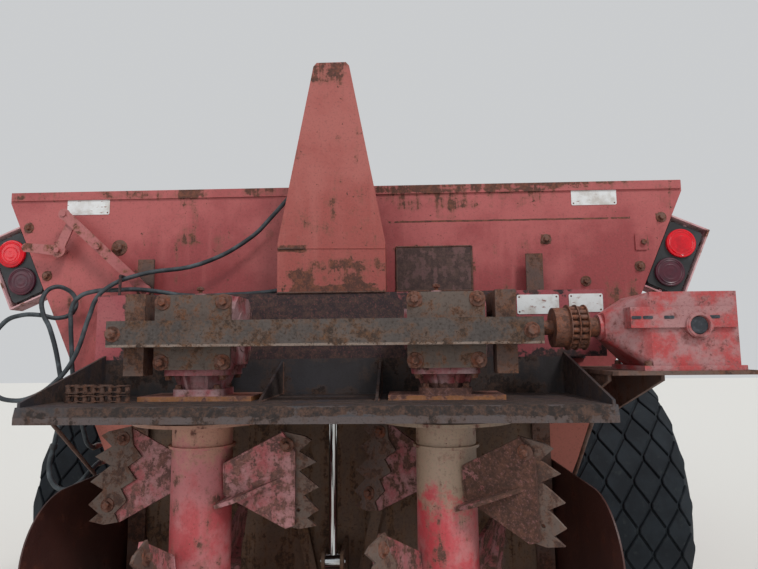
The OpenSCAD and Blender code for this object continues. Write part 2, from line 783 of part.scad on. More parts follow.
module beater_paddles_right() { at_beater(1) beater_paddles(right_turn); }
module beater_knives_left() { at_beater(-1) beater_knives(left_turn); }
module beater_knives_right() { at_beater(1) beater_knives(right_turn); }

// Sill below the beaters: pan on channels, with the lower bearings
module beater_sill() {
    pan_half = jamb_half - 20;
    color(rust) {
        difference() {
            block(-pan_half, pan_half, -pan_reach, 0, sill_top - 10, sill_top);
            for (s = [-1, 1]) rod_z(s * beater_x, -beater_y, sill_top - 11, sill_top + 1, 40);
        }
        for (x = [-pan_half, pan_half - 50]) block(x, x + 50, -pan_reach, 0, jamb_bottom, sill_top - 10);
        for (s = [-1, 1]) difference() {
            rod_z(s * beater_x, -beater_y, sill_top, sill_top + 16, 150);
            rod_z(s * beater_x, -beater_y, sill_top - 1, sill_top + 17, stub_d + 2 * running_gap);
        }
    }
}

// Side shields: thin plates that flare out behind the jambs, with a rounded upper corner
shield_reach = 600;
shield_top = 1250;
shield_low = 560;
shield_flare = 4;
shield_t = 5;
shield_corner = 200;
shield_rise = 15;
module side_shields() {
    corner = shield_corner;
    color(shield_maroon) both_sides() translate([jamb_half - 6, 0, 0]) rotate([0, 0, shield_flare])
        sideways(0, shield_t) difference() {
            union() {
                polygon([[-1, shield_low], [-1, shield_top + shield_rise],
                    [-shield_reach + corner, shield_top], [-shield_reach + corner, shield_low]]);
                translate([-shield_reach, shield_low])
                    square([corner + 1, shield_top - corner - shield_low]);
                translate([-shield_reach + corner, shield_top - corner]) circle(corner);
            }
            translate([-1, 0]) square([40, 2 * shield_top]);
        }
}
brace_d = 12;
brace_y = -250;
module shield_braces() {
    seat = brace_d * 0.45;
    plate_top = shield_top + shield_rise * (1 - brace_y / (shield_corner - shield_reach));
    color(rust) both_sides()
        strut([tray_half - 30, -tray_reach + 60, tray_z - tray_t - seat],
            [jamb_half - 6 + shield_t / 2 - brace_y * tan(shield_flare), brace_y, plate_top + seat], brace_d);
}
// Round bar between two points
module strut(a, b, d) {
    run = b - a;
    translate(a) rotate([0, acos(run[2] / norm(run)), atan2(run[1], run[0])])
        cylinder(h = norm(run), d = d);
}

// Wheels: revolved tyre on a well-base rim with a hub that turns on the spindle
module tyre_shape() {
    r0 = rim_d / 2;
    r1 = tyre_d / 2;
    w = tyre_w / 2;
    bead = w - 55;
    rotate_extrude($fn = 96) polygon([[r0, -bead], [r0 + 60, -bead - 12], [r0 + 150, -w + 4],
        [r0 + 230, -w], [r1 - 120, -w + 14], [r1 - 55, -w + 45], [r1 - 12, -w + 95], [r1, -w + 190],
        [r1, w - 190], [r1 - 12, w - 95], [r1 - 55, w - 45], [r1 - 120, w - 14], [r0 + 230, w],
        [r0 + 150, w - 4], [r0 + 60, bead + 12], [r0, bead], [r0, bead - 40], [r0 + 50, bead - 34],
        [r0 + 150, w - 40], [r0 + 230, w - 34], [r1 - 110, w - 60], [r1 - 60, w - 130],
        [r1 - 60, -w + 130], [r1 - 110, -w + 60], [r0 + 230, -w + 34], [r0 + 150, -w + 40],
        [r0 + 50, -bead + 34], [r0, -bead + 40]]);
}
module rim_shape() {
    r0 = rim_d / 2;
    bead = tyre_w / 2 - 55;
    rotate_extrude($fn = 72) polygon([[r0 - 10, -bead - 8], [r0 + 22, -bead - 18],
        [r0 + 22, -bead - 8], [r0, -bead - 2], [r0, -bead + 55], [r0 - 40, -bead + 95],
        [r0 - 40, bead - 95], [r0, bead - 55], [r0, bead + 2], [r0 + 22, bead + 8],
        [r0 + 22, bead + 18], [r0 - 10, bead + 8], [r0 - 10, bead - 60], [r0 - 50, bead - 100],
        [r0 - 50, -bead + 100], [r0 - 10, -bead + 60]]);
    // Disc with its hub
    translate([0, 0, -22]) difference() {
        cylinder(h = 16, r = r0 - 48);
        translate([0, 0, -1]) cylinder(h = 18, d = 120);
        for (a = [0 : 60 : 300]) rotate(a) translate([200, 0, -1]) cylinder(h = 18, d = 60);
    }
    hub_low = -(wheel_x - hub_inner);
    difference() {
        translate([0, 0, hub_low]) cylinder(h = hub_outer - hub_inner, d = 170);
        translate([0, 0, hub_low - 1])
            cylinder(h = hub_outer - hub_inner - 17, d = spindle_d + 2 * running_gap);
    }
}
module at_wheel(s) { translate([s * wheel_x, axle_y, wheel_z]) rotate([0, s * 90, 0]) children(); }
module tyre_left() { color(tyre_black) at_wheel(-1) tyre_shape(); }
module tyre_right() { color(tyre_black) at_wheel(1) tyre_shape(); }
module rim_left() { color(rust) at_wheel(-1) rim_shape(); }
module rim_right() { color(rust) at_wheel(1) rim_shape(); }

// Tail lamps: a tilted black housing with two round lamps, in a plate bracket on the box's edge
lamp_z = 2020;
lamp_out = 76;
lamp_tilt = slope_angle;
housing_l = 262;
housing_w = 132;
housing_d = 62;
lamp_pitch = 122;
lamp_y = 4;
// Stands the lamp's own outline at the box's edge: x across the housing, y along the slope
module at_lamp(y0, t) {
    upright(y0, t) translate([wall_x(lamp_z) + lamp_out, lamp_z]) rotate(-lamp_tilt) children();
}
module lamp_brackets() {
    rim = 6;
    wide = housing_w / 2 + 10;
    high = housing_l / 2 + 14;
    inner = lamp_out * cos(lamp_tilt);
    color(pink_paint) both_sides() {
        // Three-sided frame: its upper and lower bars end on the box
        at_lamp(lamp_y - 10, housing_d + 16) difference() {
            translate([-inner, -high - rim]) square([inner + wide + rim, 2 * (high + rim)]);
            translate([-inner - 1, -high]) square([inner + 1 + wide, 2 * high]);
        }
        // Two studs that carry the housing
        for (s = [-1, 1]) at_lamp(lamp_y + 20, 12) translate([-6, s > 0 ? housing_l / 2 + edge : -high])
            square([12, high - housing_l / 2 - edge]);
    }
}
module lamp_housings() {
    color(lamp_black) both_sides() difference() {
        at_lamp(lamp_y, housing_d) rounded(housing_w, housing_l, 14);
        for (s = [-1, 1]) at_lamp(lamp_y - 1, 22) translate([0, s * lamp_pitch / 2])
            circle(d = lamp_d + 2 * edge);
    }
}
module lamp_lenses() {
    color(lamp_red) both_sides() for (s = [-1, 1])
        at_lamp(lamp_y - 8, 28.7) translate([0, s * lamp_pitch / 2]) circle(d = lamp_d);
}

// Line shaft along the right side, in bearings that stand off the box
line_rear = -beater_y + 70;
line_front = box_length + 40;
bearing_ys = [600, 2500, box_length - 250];
bearing_w = 50;
module line_shaft() {
    color(steel) rod_y(line_x, line_rear, line_front, cross_z, line_d);
}
module shaft_bearings() {
    color(rust) for (y = bearing_ys) difference() {
        union() {
            rod_y(line_x, y - bearing_w / 2, y + bearing_w / 2, cross_z, line_d + 50);
            upright(y - bearing_w / 2 + 8, bearing_w - 16)
                polygon([[wall_x(cross_z - 130), cross_z - 130], [line_x + 25, cross_z - 60],
                    [line_x + 25, cross_z], [line_x - 25, cross_z], [wall_x(cross_z - 20), cross_z - 20]]);
        }
        rod_y(line_x, y - bearing_w, y + bearing_w, cross_z, line_d + 2 * running_gap);
    }
}

// Chain case on the front wall, from the power take-off up to the line shaft
case_y = box_length + 50;
case_t = 100;
case_low_r = 84;
case_high_r = 120;
module chain_case() {
    color(paint_red) difference() {
        union() {
            upright(case_y, case_t) link([0, pto_z], case_low_r, [line_x, cross_z], case_high_r, 0.96);
            rod_y(0, case_y + case_t, case_y + case_t + 40, pto_z, 130);
            rod_y(line_x, case_y - 40, case_y, cross_z, 110);
        }
        rod_y(0, case_y + 30, case_y + case_t + 41, pto_z, 50 + 2 * running_gap);
        rod_y(line_x, case_y - 60, case_y + 50, cross_z, line_d + 2 * running_gap);
    }
}

// Power take-off shaft above the drawbar: guard tube, end bell and splined stub
pto_front = tongue_front - 250;
module pto_shaft() {
    y0 = case_y + case_t + 45;
    color(lamp_black) {
        rod_y(0, y0, pto_front - 220, pto_z, pto_d);
        rod_y(0, case_y + 60, y0, pto_z, 50);
        rod_y(0, pto_front - 220, pto_front, pto_z, 50);
    }
}

// Gate indicator linkage on the left of the rear wall
link_y = -62;
link_t = 8;
module indicator_linkage() {
    upper = [-1086, 2222];
    lower = [-748, 1915];
    crank = [-1106, 2078];
    color(gearbox_red) {
        upright(link_y, link_t) link(upper, 22, lower, 22, 0.9);
        upright(link_y + link_t, link_t) {
            translate(crank) circle(28);
            link(crank, 22, [-1236, 2092], 18, 0.95);
            link(crank, 21, [-1062, 2182], 18, 0.95);
        }
        for (p = [upper, crank]) rod_y(p[0], link_y - 5, 0, p[1], 20);
        rod_y(-942, link_y - 12, link_y, 2091, 30);
        rod_y(lower[0], link_y - 5, -guide_d, lower[1], 20);
    }
}

// Loose length of double roller chain, folded up on the tray's left end
module loose_chain() {
    color(rust) for (row = [0, 1]) translate([240 - tray_half, -545 - row * 26, tray_z])
        for (i = [0 : 6]) translate([-i * 25.4, 0, 0]) {
            rod_y(0, 0, 20, 9, 16);
            for (y = [-3, 20]) upright(y, 3) link([0, 9], 9, [-25.4, 9], 9);
        }
}

// Hydraulic pipes clipped along the left side, from the front wall to the rear
pipe_zs = [1250, 1310];
pipe_rear = 60;
function pipe_x(z) = -wall_x(z) - (rib_depth + hose_d / 2 + edge) / cos(slope_angle);
module hydraulic_pipes() {
    color(steel) for (z = pipe_zs) rod_y(pipe_x(z), pipe_rear, box_length + 60, z, hose_d);
}

// Hoses from the cylinder's ports: over the hook, round in hanging loops and into the pipes
upper_route = [[0, port_y, port_zs[1]], [0, port_y + 25, port_zs[1]], [0, -78, 2600], [-20, -60, 2500],
    [-125, -64, 2350], [-262, -66, 2186], [-330, -66, 2118], [-528, -74, 2012], [-761, -85, 1972],
    [-880, -86, 1926], [-922, -92, 1881], [-940, -100, 1820], [-990, -122, 1640], [-1046, -130, 1566],
    [-1121, -132, 1516], [-1202, -132, 1502], [-1270, -132, 1526], [-1306, -132, 1590],
    [-1312, -132, 1665], [-1250, -132, 1792], [-1190, -128, 1818], [-1132, -110, 1820],
    [-1078, -72, 1810], [-1046, -34, 1834], [-1040, -26, 1884], [-1064, -54, 1924], [-1096, -92, 1926],
    [-1116, -118, 1884], [-1110, -122, 1828], [-1084, -116, 1770], [-1046, -98, 1600],
    [-1034, -94, 1500], [-1056, -95, 1330], [-1070, -94, 1262], [-1058, -92, 1202], [-1014, -88, 1172],
    [-968, -78, 1190], [-942, -52, 1226], [pipe_x(pipe_zs[0]), 0, pipe_zs[0]],
    [pipe_x(pipe_zs[0]), pipe_rear, pipe_zs[0]]];
lower_route = [[0, port_y, port_zs[0]], [0, port_y + 25, port_zs[0]], [-14, -84, 1972],
    [-50, -68, 1962], [-110, -64, 1940], [-216, -66, 1908], [-320, -68, 1896], [-409, -70, 1892],
    [-500, -74, 1888], [-598, -80, 1892], [-680, -82, 1905], [-759, -82, 1915], [-869, -64, 1916],
    [-950, -62, 1912], [-1004, -68, 1890], [-1032, -66, 1846], [-1034, -62, 1785], [-1028, -60, 1700],
    [-1020, -60, 1610], [-1004, -60, 1520], [-980, -60, 1436], [-966, -54, 1376],
    [-963, -30, 1330], [pipe_x(pipe_zs[1]), 10, pipe_zs[1]], [pipe_x(pipe_zs[1]), pipe_rear, pipe_zs[1]]];
hose_sides = 8;
function unit(v) = v / norm(v);
function heading(p, i) = unit(p[min(i + 1, len(p) - 1)] - p[max(i - 1, 0)]);
function turned(n, h) = unit(n - (n * h) * h);
// Directions across the route, each turned as little as possible from the one before
function across(p) = [for (i = 0, n = [1, 0, 0]; i < len(p);
    i = i + 1, n = i < len(p) ? turned(n, heading(p, i)) : n) n];
module swept(p) {
    n = hose_sides;
    side = across(p);
    rings = [for (i = [0 : len(p) - 1], k = [0 : n - 1])
        p[i] + hose_d / 2 * (cos(k * 360 / n) * side[i]
            + sin(k * 360 / n) * cross(heading(p, i), side[i]))];
    polyhedron(points = rings, faces = concat([[for (k = [0 : n - 1]) k]],
        [[for (k = [n - 1 : -1 : 0]) (len(p) - 1) * n + k]],
        [for (i = [0 : len(p) - 2], k = [0 : n - 1], half = [0, 1])
            half == 0 ? [i * n + k, (i + 1) * n + (k + 1) % n, i * n + (k + 1) % n]
            : [i * n + k, (i + 1) * n + k, (i + 1) * n + (k + 1) % n]]));
}
module hose_upper() { color(hose_black) swept(upper_route); }
module hose_lower() { color(hose_black) swept(lower_route); }

placed() rails();
placed() cross_members();
placed() axle();
placed() tongue();
placed() hitch_clevis();
placed() jack_tube();
placed() jack_leg();
placed() box_side_left();
placed() box_side_right();
placed() front_wall();
placed() rear_wall();
placed() floor_plate();  // floor
placed() apron();
placed() apron_shafts();
placed() gate_guides();
placed() gate();
placed() cylinder_rod();
placed() cylinder_barrel();
placed() tower();
placed() head_beam();
placed() tray();
placed() guard_channel();
placed() guard_posts();
placed() beater_gearboxes();
placed() gearbox_covers();
placed() side_gearbox();
placed() gearbox_platform();
placed() cross_shaft();
placed() chain_coupler();
placed() beater_tube_left();
placed() beater_tube_right();
placed() beater_paddles_left();
placed() beater_paddles_right();
placed() beater_knives_left();
placed() beater_knives_right();
placed() beater_sill();
placed() side_shields();
placed() shield_braces();
placed() tyre_left();
placed() tyre_right();
placed() rim_left();
placed() rim_right();
placed() lamp_brackets();
placed() lamp_housings();
placed() lamp_lenses();
placed() line_shaft();
placed() shaft_bearings();
placed() chain_case();
placed() pto_shaft();
placed() indicator_linkage();
placed() loose_chain();
placed() hydraulic_pipes();
placed() hose_upper();
placed() hose_lower();
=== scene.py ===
"""A towed manure spreader with a flared steel box and two vertical beaters, seen from behind.

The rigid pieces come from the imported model. This script gives them their finishes and adds the hoses,
the tyres' tread, the fasteners, the welds and the blank plates.
"""

import math

import bmesh
import bpy
from mathutils import Matrix, Vector


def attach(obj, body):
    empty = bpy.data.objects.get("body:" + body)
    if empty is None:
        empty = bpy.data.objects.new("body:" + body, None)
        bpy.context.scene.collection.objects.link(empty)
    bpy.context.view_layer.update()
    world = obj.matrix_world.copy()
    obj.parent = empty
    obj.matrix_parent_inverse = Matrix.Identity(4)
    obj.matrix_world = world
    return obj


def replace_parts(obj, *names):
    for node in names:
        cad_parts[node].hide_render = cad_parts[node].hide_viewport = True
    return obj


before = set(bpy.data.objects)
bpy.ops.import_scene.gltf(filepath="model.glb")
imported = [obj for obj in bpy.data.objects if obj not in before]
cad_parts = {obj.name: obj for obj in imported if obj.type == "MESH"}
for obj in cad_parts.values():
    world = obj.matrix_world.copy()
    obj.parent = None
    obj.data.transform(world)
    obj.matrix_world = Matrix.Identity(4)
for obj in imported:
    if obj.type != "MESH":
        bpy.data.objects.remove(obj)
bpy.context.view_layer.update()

# The camera stands behind the machine at the photograph's viewing angle, a little above the tray.
# Its lens sees the whole rear panel, and its horizon leans by half a degree.
PHOTO_WIDTH = 758
FOCAL_PIXELS = 584.7
camera_data = bpy.data.cameras.new("camera")
camera_data.sensor_width = 36
camera_data.lens = camera_data.sensor_width * FOCAL_PIXELS / PHOTO_WIDTH
camera = bpy.data.objects.new("camera", camera_data)
bpy.context.scene.collection.objects.link(camera)
yaw = Matrix.Rotation(math.radians(2.24), 4, "Z")
pitch = Matrix.Rotation(math.radians(96.59), 4, "X")
roll = Matrix.Rotation(math.radians(-0.53), 4, "Z")
camera.matrix_world = Matrix.Translation((0.247, -5.0115, 1.668)) @ yaw @ pitch @ roll
bpy.context.scene.camera = camera

# Hydraulic hoses of the gate cylinder: black rubber over steel braid, 17 mm across.
# They leave the cylinder's ports, hang over a hook and in loops, and join the pipes on the box's side.
# From the rear wall's back, where these points are measured from, to the model's own middle
MIDDLE = 2.7345
HOSE_DIAMETER = 0.017
PORT_Y = -0.132
UPPER_PORT_Z = 2.619
LOWER_PORT_Z = 1.976
PIPE_REAR = 0.06


def colour(code):
    """An sRGB hex colour as the linear values that a socket takes."""
    channels = [int(code[i : i + 2], 16) / 255 for i in (1, 3, 5)]
    return [c / 12.92 if c <= 0.04045 else ((c + 0.055) / 1.055) ** 2.4 for c in channels] + [1]


def add(material, kind, inputs=None, **settings):
    """Adds one node to a material, with its settings, its values and the links into it."""
    node = material.node_tree.nodes.new("ShaderNode" + kind)
    for name, value in settings.items():
        setattr(node, name, value)
    for socket, value in (inputs or {}).items():
        if isinstance(value, bpy.types.NodeSocket):
            material.node_tree.links.new(value, node.inputs[socket])
        else:
            node.inputs[socket].default_value = value
    return node


def finish(name, rough=0.5, metal=0.0, ior=1.5):
    """A material with an empty shader, and the object's own coordinates."""
    material = bpy.data.materials.new(name)
    material.use_nodes = True
    shader = material.node_tree.nodes["Principled BSDF"]
    shader.inputs["Roughness"].default_value = rough
    shader.inputs["Metallic"].default_value = metal
    if not metal:
        shader.inputs["IOR"].default_value = ior
    place = add(material, "TexCoord").outputs["Object"]
    return material, shader, place


def noise(material, place, size_mm, detail=6, rough=0.6, stretch=(1, 1, 1)):
    """Noise whose lumps are about size_mm wide, drawn out along an axis by stretch."""
    scaled = add(material, "Mapping", {"Vector": place, "Scale": [1 / s for s in stretch]}).outputs[0]
    return add(
        material,
        "TexNoise",
        {"Vector": scaled, "Scale": 1000 / size_mm, "Detail": detail, "Roughness": rough},
    ).outputs["Fac"]


def step(material, value, low, high):
    """0 below low, 1 above high, and smooth between."""
    return add(
        material,
        "MapRange",
        {"Value": value, "From Min": low, "From Max": high},
        interpolation_type="SMOOTHSTEP",
    ).outputs["Result"]


def blend(material, share, first, second):
    """Mixes two colours by share."""
    mixed = add(material, "Mix", {"Factor": share}, data_type="RGBA")
    for socket, value in ((6, first), (7, second)):
        if isinstance(value, bpy.types.NodeSocket):
            material.node_tree.links.new(value, mixed.inputs[socket])
        else:
            mixed.inputs[socket].default_value = colour(value)
    return mixed.outputs[2]


def bump(material, shader, height, depth_mm):
    """Raises the surface by height, up to depth_mm."""
    raised = add(material, "Bump", {"Height": height, "Strength": 1, "Distance": depth_mm / 1000})
    material.node_tree.links.new(raised.outputs[0], shader.inputs["Normal"])


def joined(material, shader, **outputs):
    """Joins sockets to the shader's inputs by name."""
    for name, socket in outputs.items():
        material.node_tree.links.new(socket, shader.inputs[name.replace("_", " ")])


def tinted(material, shader, pattern, low, high, first, second):
    """Colours the surface: first where a pattern is below low, and second where it is above high."""
    tint = blend(material, step(material, pattern, low, high), first, second)
    joined(material, shader, Base_Color=tint)


# Extruded hose cover: dull black rubber, dusty, with the faint wrap of the cloth it was cured in
hose_rubber, shader, place = finish("hose_rubber", rough=0.6)
tinted(hose_rubber, shader, noise(hose_rubber, place, 60), 0.4, 0.7, "#20272C", "#4A5257")
bump(hose_rubber, shader, noise(hose_rubber, place, 3, detail=2), 0.4)

# The cylinder's upper port, over the hook, a wide hanging loop, a small one and down past the tray
upper_route = [
    (0, PORT_Y, UPPER_PORT_Z), (0, PORT_Y + 0.025, UPPER_PORT_Z), (0, -0.078, 2.6), (-0.02, -0.06, 2.5),
    (-0.125, -0.064, 2.35), (-0.262, -0.066, 2.186), (-0.33, -0.066, 2.118), (-0.528, -0.074, 2.012),
    (-0.761, -0.085, 1.972), (-0.88, -0.086, 1.926), (-0.922, -0.092, 1.881), (-0.94, -0.1, 1.82),
    (-0.99, -0.122, 1.64), (-1.046, -0.13, 1.566), (-1.121, -0.132, 1.516), (-1.202, -0.132, 1.502),
    (-1.27, -0.132, 1.526), (-1.306, -0.132, 1.59), (-1.312, -0.132, 1.665), (-1.25, -0.132, 1.792),
    (-1.19, -0.128, 1.818), (-1.132, -0.11, 1.82), (-1.078, -0.072, 1.81), (-1.046, -0.034, 1.834),
    (-1.04, -0.026, 1.884), (-1.064, -0.054, 1.924), (-1.096, -0.092, 1.926), (-1.116, -0.118, 1.884),
    (-1.11, -0.122, 1.828), (-1.084, -0.116, 1.77), (-1.046, -0.098, 1.6), (-1.034, -0.094, 1.5),
    (-1.056, -0.095, 1.33), (-1.07, -0.094, 1.262), (-1.058, -0.092, 1.202), (-1.014, -0.088, 1.172),
    (-0.968, -0.078, 1.19), (-0.942, -0.052, 1.226),
]
# The lower port, left behind the head beam and down the side to the upper pipe
lower_route = [
    (0, PORT_Y, LOWER_PORT_Z), (0, PORT_Y + 0.025, LOWER_PORT_Z), (-0.014, -0.084, 1.972),
    (-0.05, -0.068, 1.962), (-0.11, -0.064, 1.94), (-0.216, -0.066, 1.908), (-0.32, -0.068, 1.896),
    (-0.409, -0.07, 1.892), (-0.5, -0.074, 1.888), (-0.598, -0.08, 1.892), (-0.68, -0.082, 1.905),
    (-0.759, -0.082, 1.915), (-0.869, -0.064, 1.916), (-0.95, -0.062, 1.912), (-1.004, -0.068, 1.89),
    (-1.032, -0.066, 1.846), (-1.034, -0.062, 1.785), (-1.028, -0.06, 1.7), (-1.02, -0.06, 1.61),
    (-1.004, -0.06, 1.52), (-0.98, -0.06, 1.436), (-0.966, -0.054, 1.376), (-0.963, -0.03, 1.33),
]


def place_of(points):
    """Points measured from the rear wall, moved to the model's own frame."""
    return [Vector((x, y - MIDDLE, z)) for x, y, z in points]


def hose(name, route, pipe_ends):
    """A round rubber hose along its route, which ends in a pipe."""
    points = place_of(route + pipe_ends)
    curve = bpy.data.curves.new(name, "CURVE")
    curve.dimensions = "3D"
    curve.bevel_depth = HOSE_DIAMETER / 2
    curve.bevel_resolution = 4
    curve.use_fill_caps = True
    curve.resolution_u = 6
    line = curve.splines.new("BEZIER")
    line.bezier_points.add(len(points) - 1)
    for knot, point in zip(line.bezier_points, points):
        knot.co = point
        knot.handle_left_type = knot.handle_right_type = "AUTO"
    curve.materials.append(hose_rubber)
    piece = bpy.data.objects.new(name, curve)
    bpy.context.scene.collection.objects.link(piece)
    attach(piece, "frame")
    return piece


# The box's flared wall leans out from the floor's edge, and the pipes lie on its ribs
FLOOR_HALF = 0.705
FLOOR_Z = 0.83
WALL_SLOPE = 640 / 1455
WALL_ANGLE = math.atan(WALL_SLOPE)
RIB_DEPTH = 0.034
PIPE_RADIUS = HOSE_DIAMETER / 2
SEAT_GAP = 0.0003
LOW_PIPE_Z = 1.25
HIGH_PIPE_Z = 1.31


def wall_x(z):
    """How far from the machine's middle the wall stands at height z."""
    return FLOOR_HALF + WALL_SLOPE * (z - FLOOR_Z)


def pipe_x(z):
    """Across the machine, the middle of a pipe that lies on the left side's ribs at height z."""
    return -wall_x(z) - (RIB_DEPTH + PIPE_RADIUS + SEAT_GAP) / math.cos(WALL_ANGLE)


low_end = [(pipe_x(LOW_PIPE_Z), 0, LOW_PIPE_Z), (pipe_x(LOW_PIPE_Z), PIPE_REAR, LOW_PIPE_Z)]
high_end = [(pipe_x(HIGH_PIPE_Z), 0.01, HIGH_PIPE_Z), (pipe_x(HIGH_PIPE_Z), PIPE_REAR, HIGH_PIPE_Z)]
upper_hose = hose("upper_hose", upper_route, low_end)
lower_hose = hose("lower_hose", lower_route, high_end)
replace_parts(upper_hose, "hose_upper")
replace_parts(lower_hose, "hose_lower")

# Load box: rolled steel plate under old red paint, welded along its ribs.
# The paint has faded to pink and dust, and rust comes through in spots, runs and along the edges.


def weathered(name, coat, faded, rust, bright_rust, rusted, patch_mm=120, fade_mm=700, rough=0.55, runs=0.5,
              marks=(), scoured=None, foot=None, pitting=0.4):
    """Old paint on steel: rusted is the share that rust has taken, and runs how far it streaks down.

    A mark is a place (x, z, half width, half height, pull) with more rust than elsewhere, or with less; a few
    marks are painted shade in the rust colours.
    Scoured is a height and the colour to which the load has rubbed the paint above it.
    Foot is a height and the colour that the surface has below it; on a few pieces that colour is painted
    light.
    """
    material, shader, place = finish(name, rough)
    if scoured or foot:
        height = add(material, "SeparateXYZ", {"Vector": place}).outputs["Z"]
    broad = noise(material, place, fade_mm, detail=9, rough=0.64)
    paint = blend(material, step(material, broad, 0.42, 0.58), coat, faded)
    # Rain has washed the paint into soft upright streaks
    washed = noise(material, place, 70, detail=6, stretch=(1, 1, 9))
    paint = blend(material, step(material, washed, 0.5, 0.8), paint, faded)
    patches = noise(material, place, patch_mm, detail=12, rough=0.72)
    if scoured:
        ragged = add(material, "Math", {0: patches, 1: 0.5, 2: height}, operation="MULTIPLY_ADD").outputs[0]
        paint = blend(material, step(material, ragged, scoured[0] + 0.2, scoured[0] + 0.3), paint, scoured[1])
    if foot:
        paint = blend(material, step(material, height, foot[0] + 0.001, foot[0] - 0.001), paint, foot[1])
    streaks = noise(material, place, 28, detail=7, stretch=(1, 1, 14))
    if marks:
        # Breaks up the edges of the marks
        shake = add(material, "TexNoise", {"Vector": place, "Scale": 18, "Detail": 7, "Roughness": 0.65})
        spread = {0: shake.outputs["Color"], 1: (1.6, 0, 1.6), 2: (-0.8, 0, -0.8)}
        shaken = add(material, "VectorMath", spread, operation="MULTIPLY_ADD").outputs[0]
    mixed = add(material, "Mix", {"Factor": 0.4 * runs, 2: patches, 3: streaks}).outputs[0]
    for x, z, half_width, half_height, pull in marks:
        # 1 inside the mark's rectangle and 0 outside it
        moved = add(material, "Mapping", {"Vector": place, "Location": (-x / half_width, 0, -z / half_height),
                                          "Scale": (1 / half_width, 0, 1 / half_height)}).outputs[0]
        moved = add(material, "VectorMath", {0: moved, 1: shaken}, operation="ADD").outputs[0]
        far = add(material, "VectorMath", {0: moved}, operation="ABSOLUTE").outputs[0]
        sides = add(material, "SeparateXYZ", {"Vector": far}).outputs
        farthest = add(material, "Math", {0: sides["X"], 1: sides["Z"]}, operation="MAXIMUM").outputs[0]
        near = step(material, farthest, 1.15, 0.6)
        mixed = add(material, "Math", {0: near, 1: pull, 2: mixed}, operation="MULTIPLY_ADD").outputs[0]
    edge = 0.66 - 0.3 * rusted
    # Rust stains the paint round each patch before it lifts it
    halo = step(material, mixed, edge - 0.08, edge)
    stained = add(material, "Math", {0: halo, 1: 0.5}, operation="MULTIPLY").outputs[0]
    paint = blend(material, stained, paint, bright_rust)
    cover = step(material, mixed, edge - 0.012, edge + 0.018)
    # Stone chips, drawn 9 mm across so that they show, thicker where the rust is
    chips = noise(material, place, 13, detail=3, rough=0.5)
    chips = add(material, "Math", {0: mixed, 1: 0.7, 2: chips}, operation="MULTIPLY_ADD").outputs[0]
    chipped = step(material, chips, 1.09 - 0.12 * rusted, 1.12 - 0.12 * rusted)
    cover = add(material, "Math", {0: cover, 1: chipped}, operation="MAXIMUM").outputs[0]
    grain = noise(material, place, 22, detail=10, rough=0.8)
    iron = blend(material, step(material, grain, 0.42, 0.62), rust, bright_rust)
    whole = blend(material, cover, paint, iron)
    # Pits and grains, drawn 5 mm across so that they show: dark in the hollows, dusty between them
    pits = noise(material, place, 8, detail=5, rough=0.8)
    hollow = step(material, pits, 0.52, 0.66)
    deep = add(material, "Math", {0: hollow, 1: pitting}, operation="MULTIPLY").outputs[0]
    whole = blend(material, deep, whole, rust)
    ridge = step(material, pits, 0.47, 0.36)
    high = add(material, "Math", {0: ridge, 1: 0.6 * pitting}, operation="MULTIPLY").outputs[0]
    whole = blend(material, high, whole, faded)
    joined(material, shader, Base_Color=whole)
    gloss = add(material, "MapRange", {"Value": cover, "To Min": rough, "To Max": 0.88}).outputs["Result"]
    joined(material, shader, Roughness=gloss)
    flaked = add(material, "Math", {0: cover, 1: 0.4, 2: grain}, operation="MULTIPLY_ADD").outputs[0]
    flaked = add(material, "Math", {0: deep, 1: -0.5, 2: flaked}, operation="MULTIPLY_ADD").outputs[0]
    bump(material, shader, flaked, 1.0)
    return material


def dress(material, *nodes):
    """Gives CAD nodes a finish."""
    for name in nodes:
        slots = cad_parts[name].data.materials
        slots.clear()
        slots.append(material)


# The rear panel: a rust run under the folded strip, spots round each bolt, a burnt patch plate, and painted
# shadow along the crease
panel_rust_and_crease_shadow_marks = [
    (-0.612, 2.23, 0.05, 0.14, 0.1), (0.52, 2.27, 0.38, 0.05, 0.08), (0.68, 2.18, 0.5, 0.004, 0.3),
    (0.3745, 1.9905, 0.15, 0.09, 0.3), (1.1, 1.88, 0.07, 0.07, 0.12), (1.186, 2.083, 0.022, 0.03, 0.2),
    (1.169, 1.989, 0.02, 0.026, 0.16), (0.96, 1.934, 0.016, 0.016, 0.16), (0.814, 2.101, 0.022, 0.022, 0.2),
    (-1.264, 2.182, 0.02, 0.024, 0.16), (-1.178, 1.984, 0.02, 0.02, 0.16), (1.261, 2.181, 0.02, 0.02, 0.16),
    (0, 2.325, 1.36, 0.035, 0.09), (0.75, 2.335, 0.6, 0.02, 0.08), (-0.886, 2.094, 0.03, 0.03, 0.14),
    (0, 0.7, 1.0, 0.5, 0.04),
]
# Below the tray's floor the panel takes a lighter salmon colour: painted sunlight.
panel_paint = weathered("faded_red_panel_paint_and_painted_sun", "#8C3436", "#A85352", "#4E3229", "#744635", 0.1, runs=0.9,
                        marks=panel_rust_and_crease_shadow_marks, foot=(1.52, "#AC5F50"))
box_paint = weathered("faded_red_paint", "#8C3637", "#A65352", "#4E3229", "#744635", 0.2, runs=0.8)
dress(panel_paint, "rear_wall")
dress(box_paint, "box_side_left", "box_side_right", "front_wall", "tongue", "chain_case")

# Welds on the rear wall: hand-laid beads, rusted darker than the plate, round the patch plate.
# The bead swells and narrows with each of its ripples.
RIPPLE = 0.007
REAR = (0, -1, 0)
weld_rust = weathered("rusted_weld", "#4A3730", "#56423A", "#382620", "#6A4434", 0.5, patch_mm=40, rough=0.8)


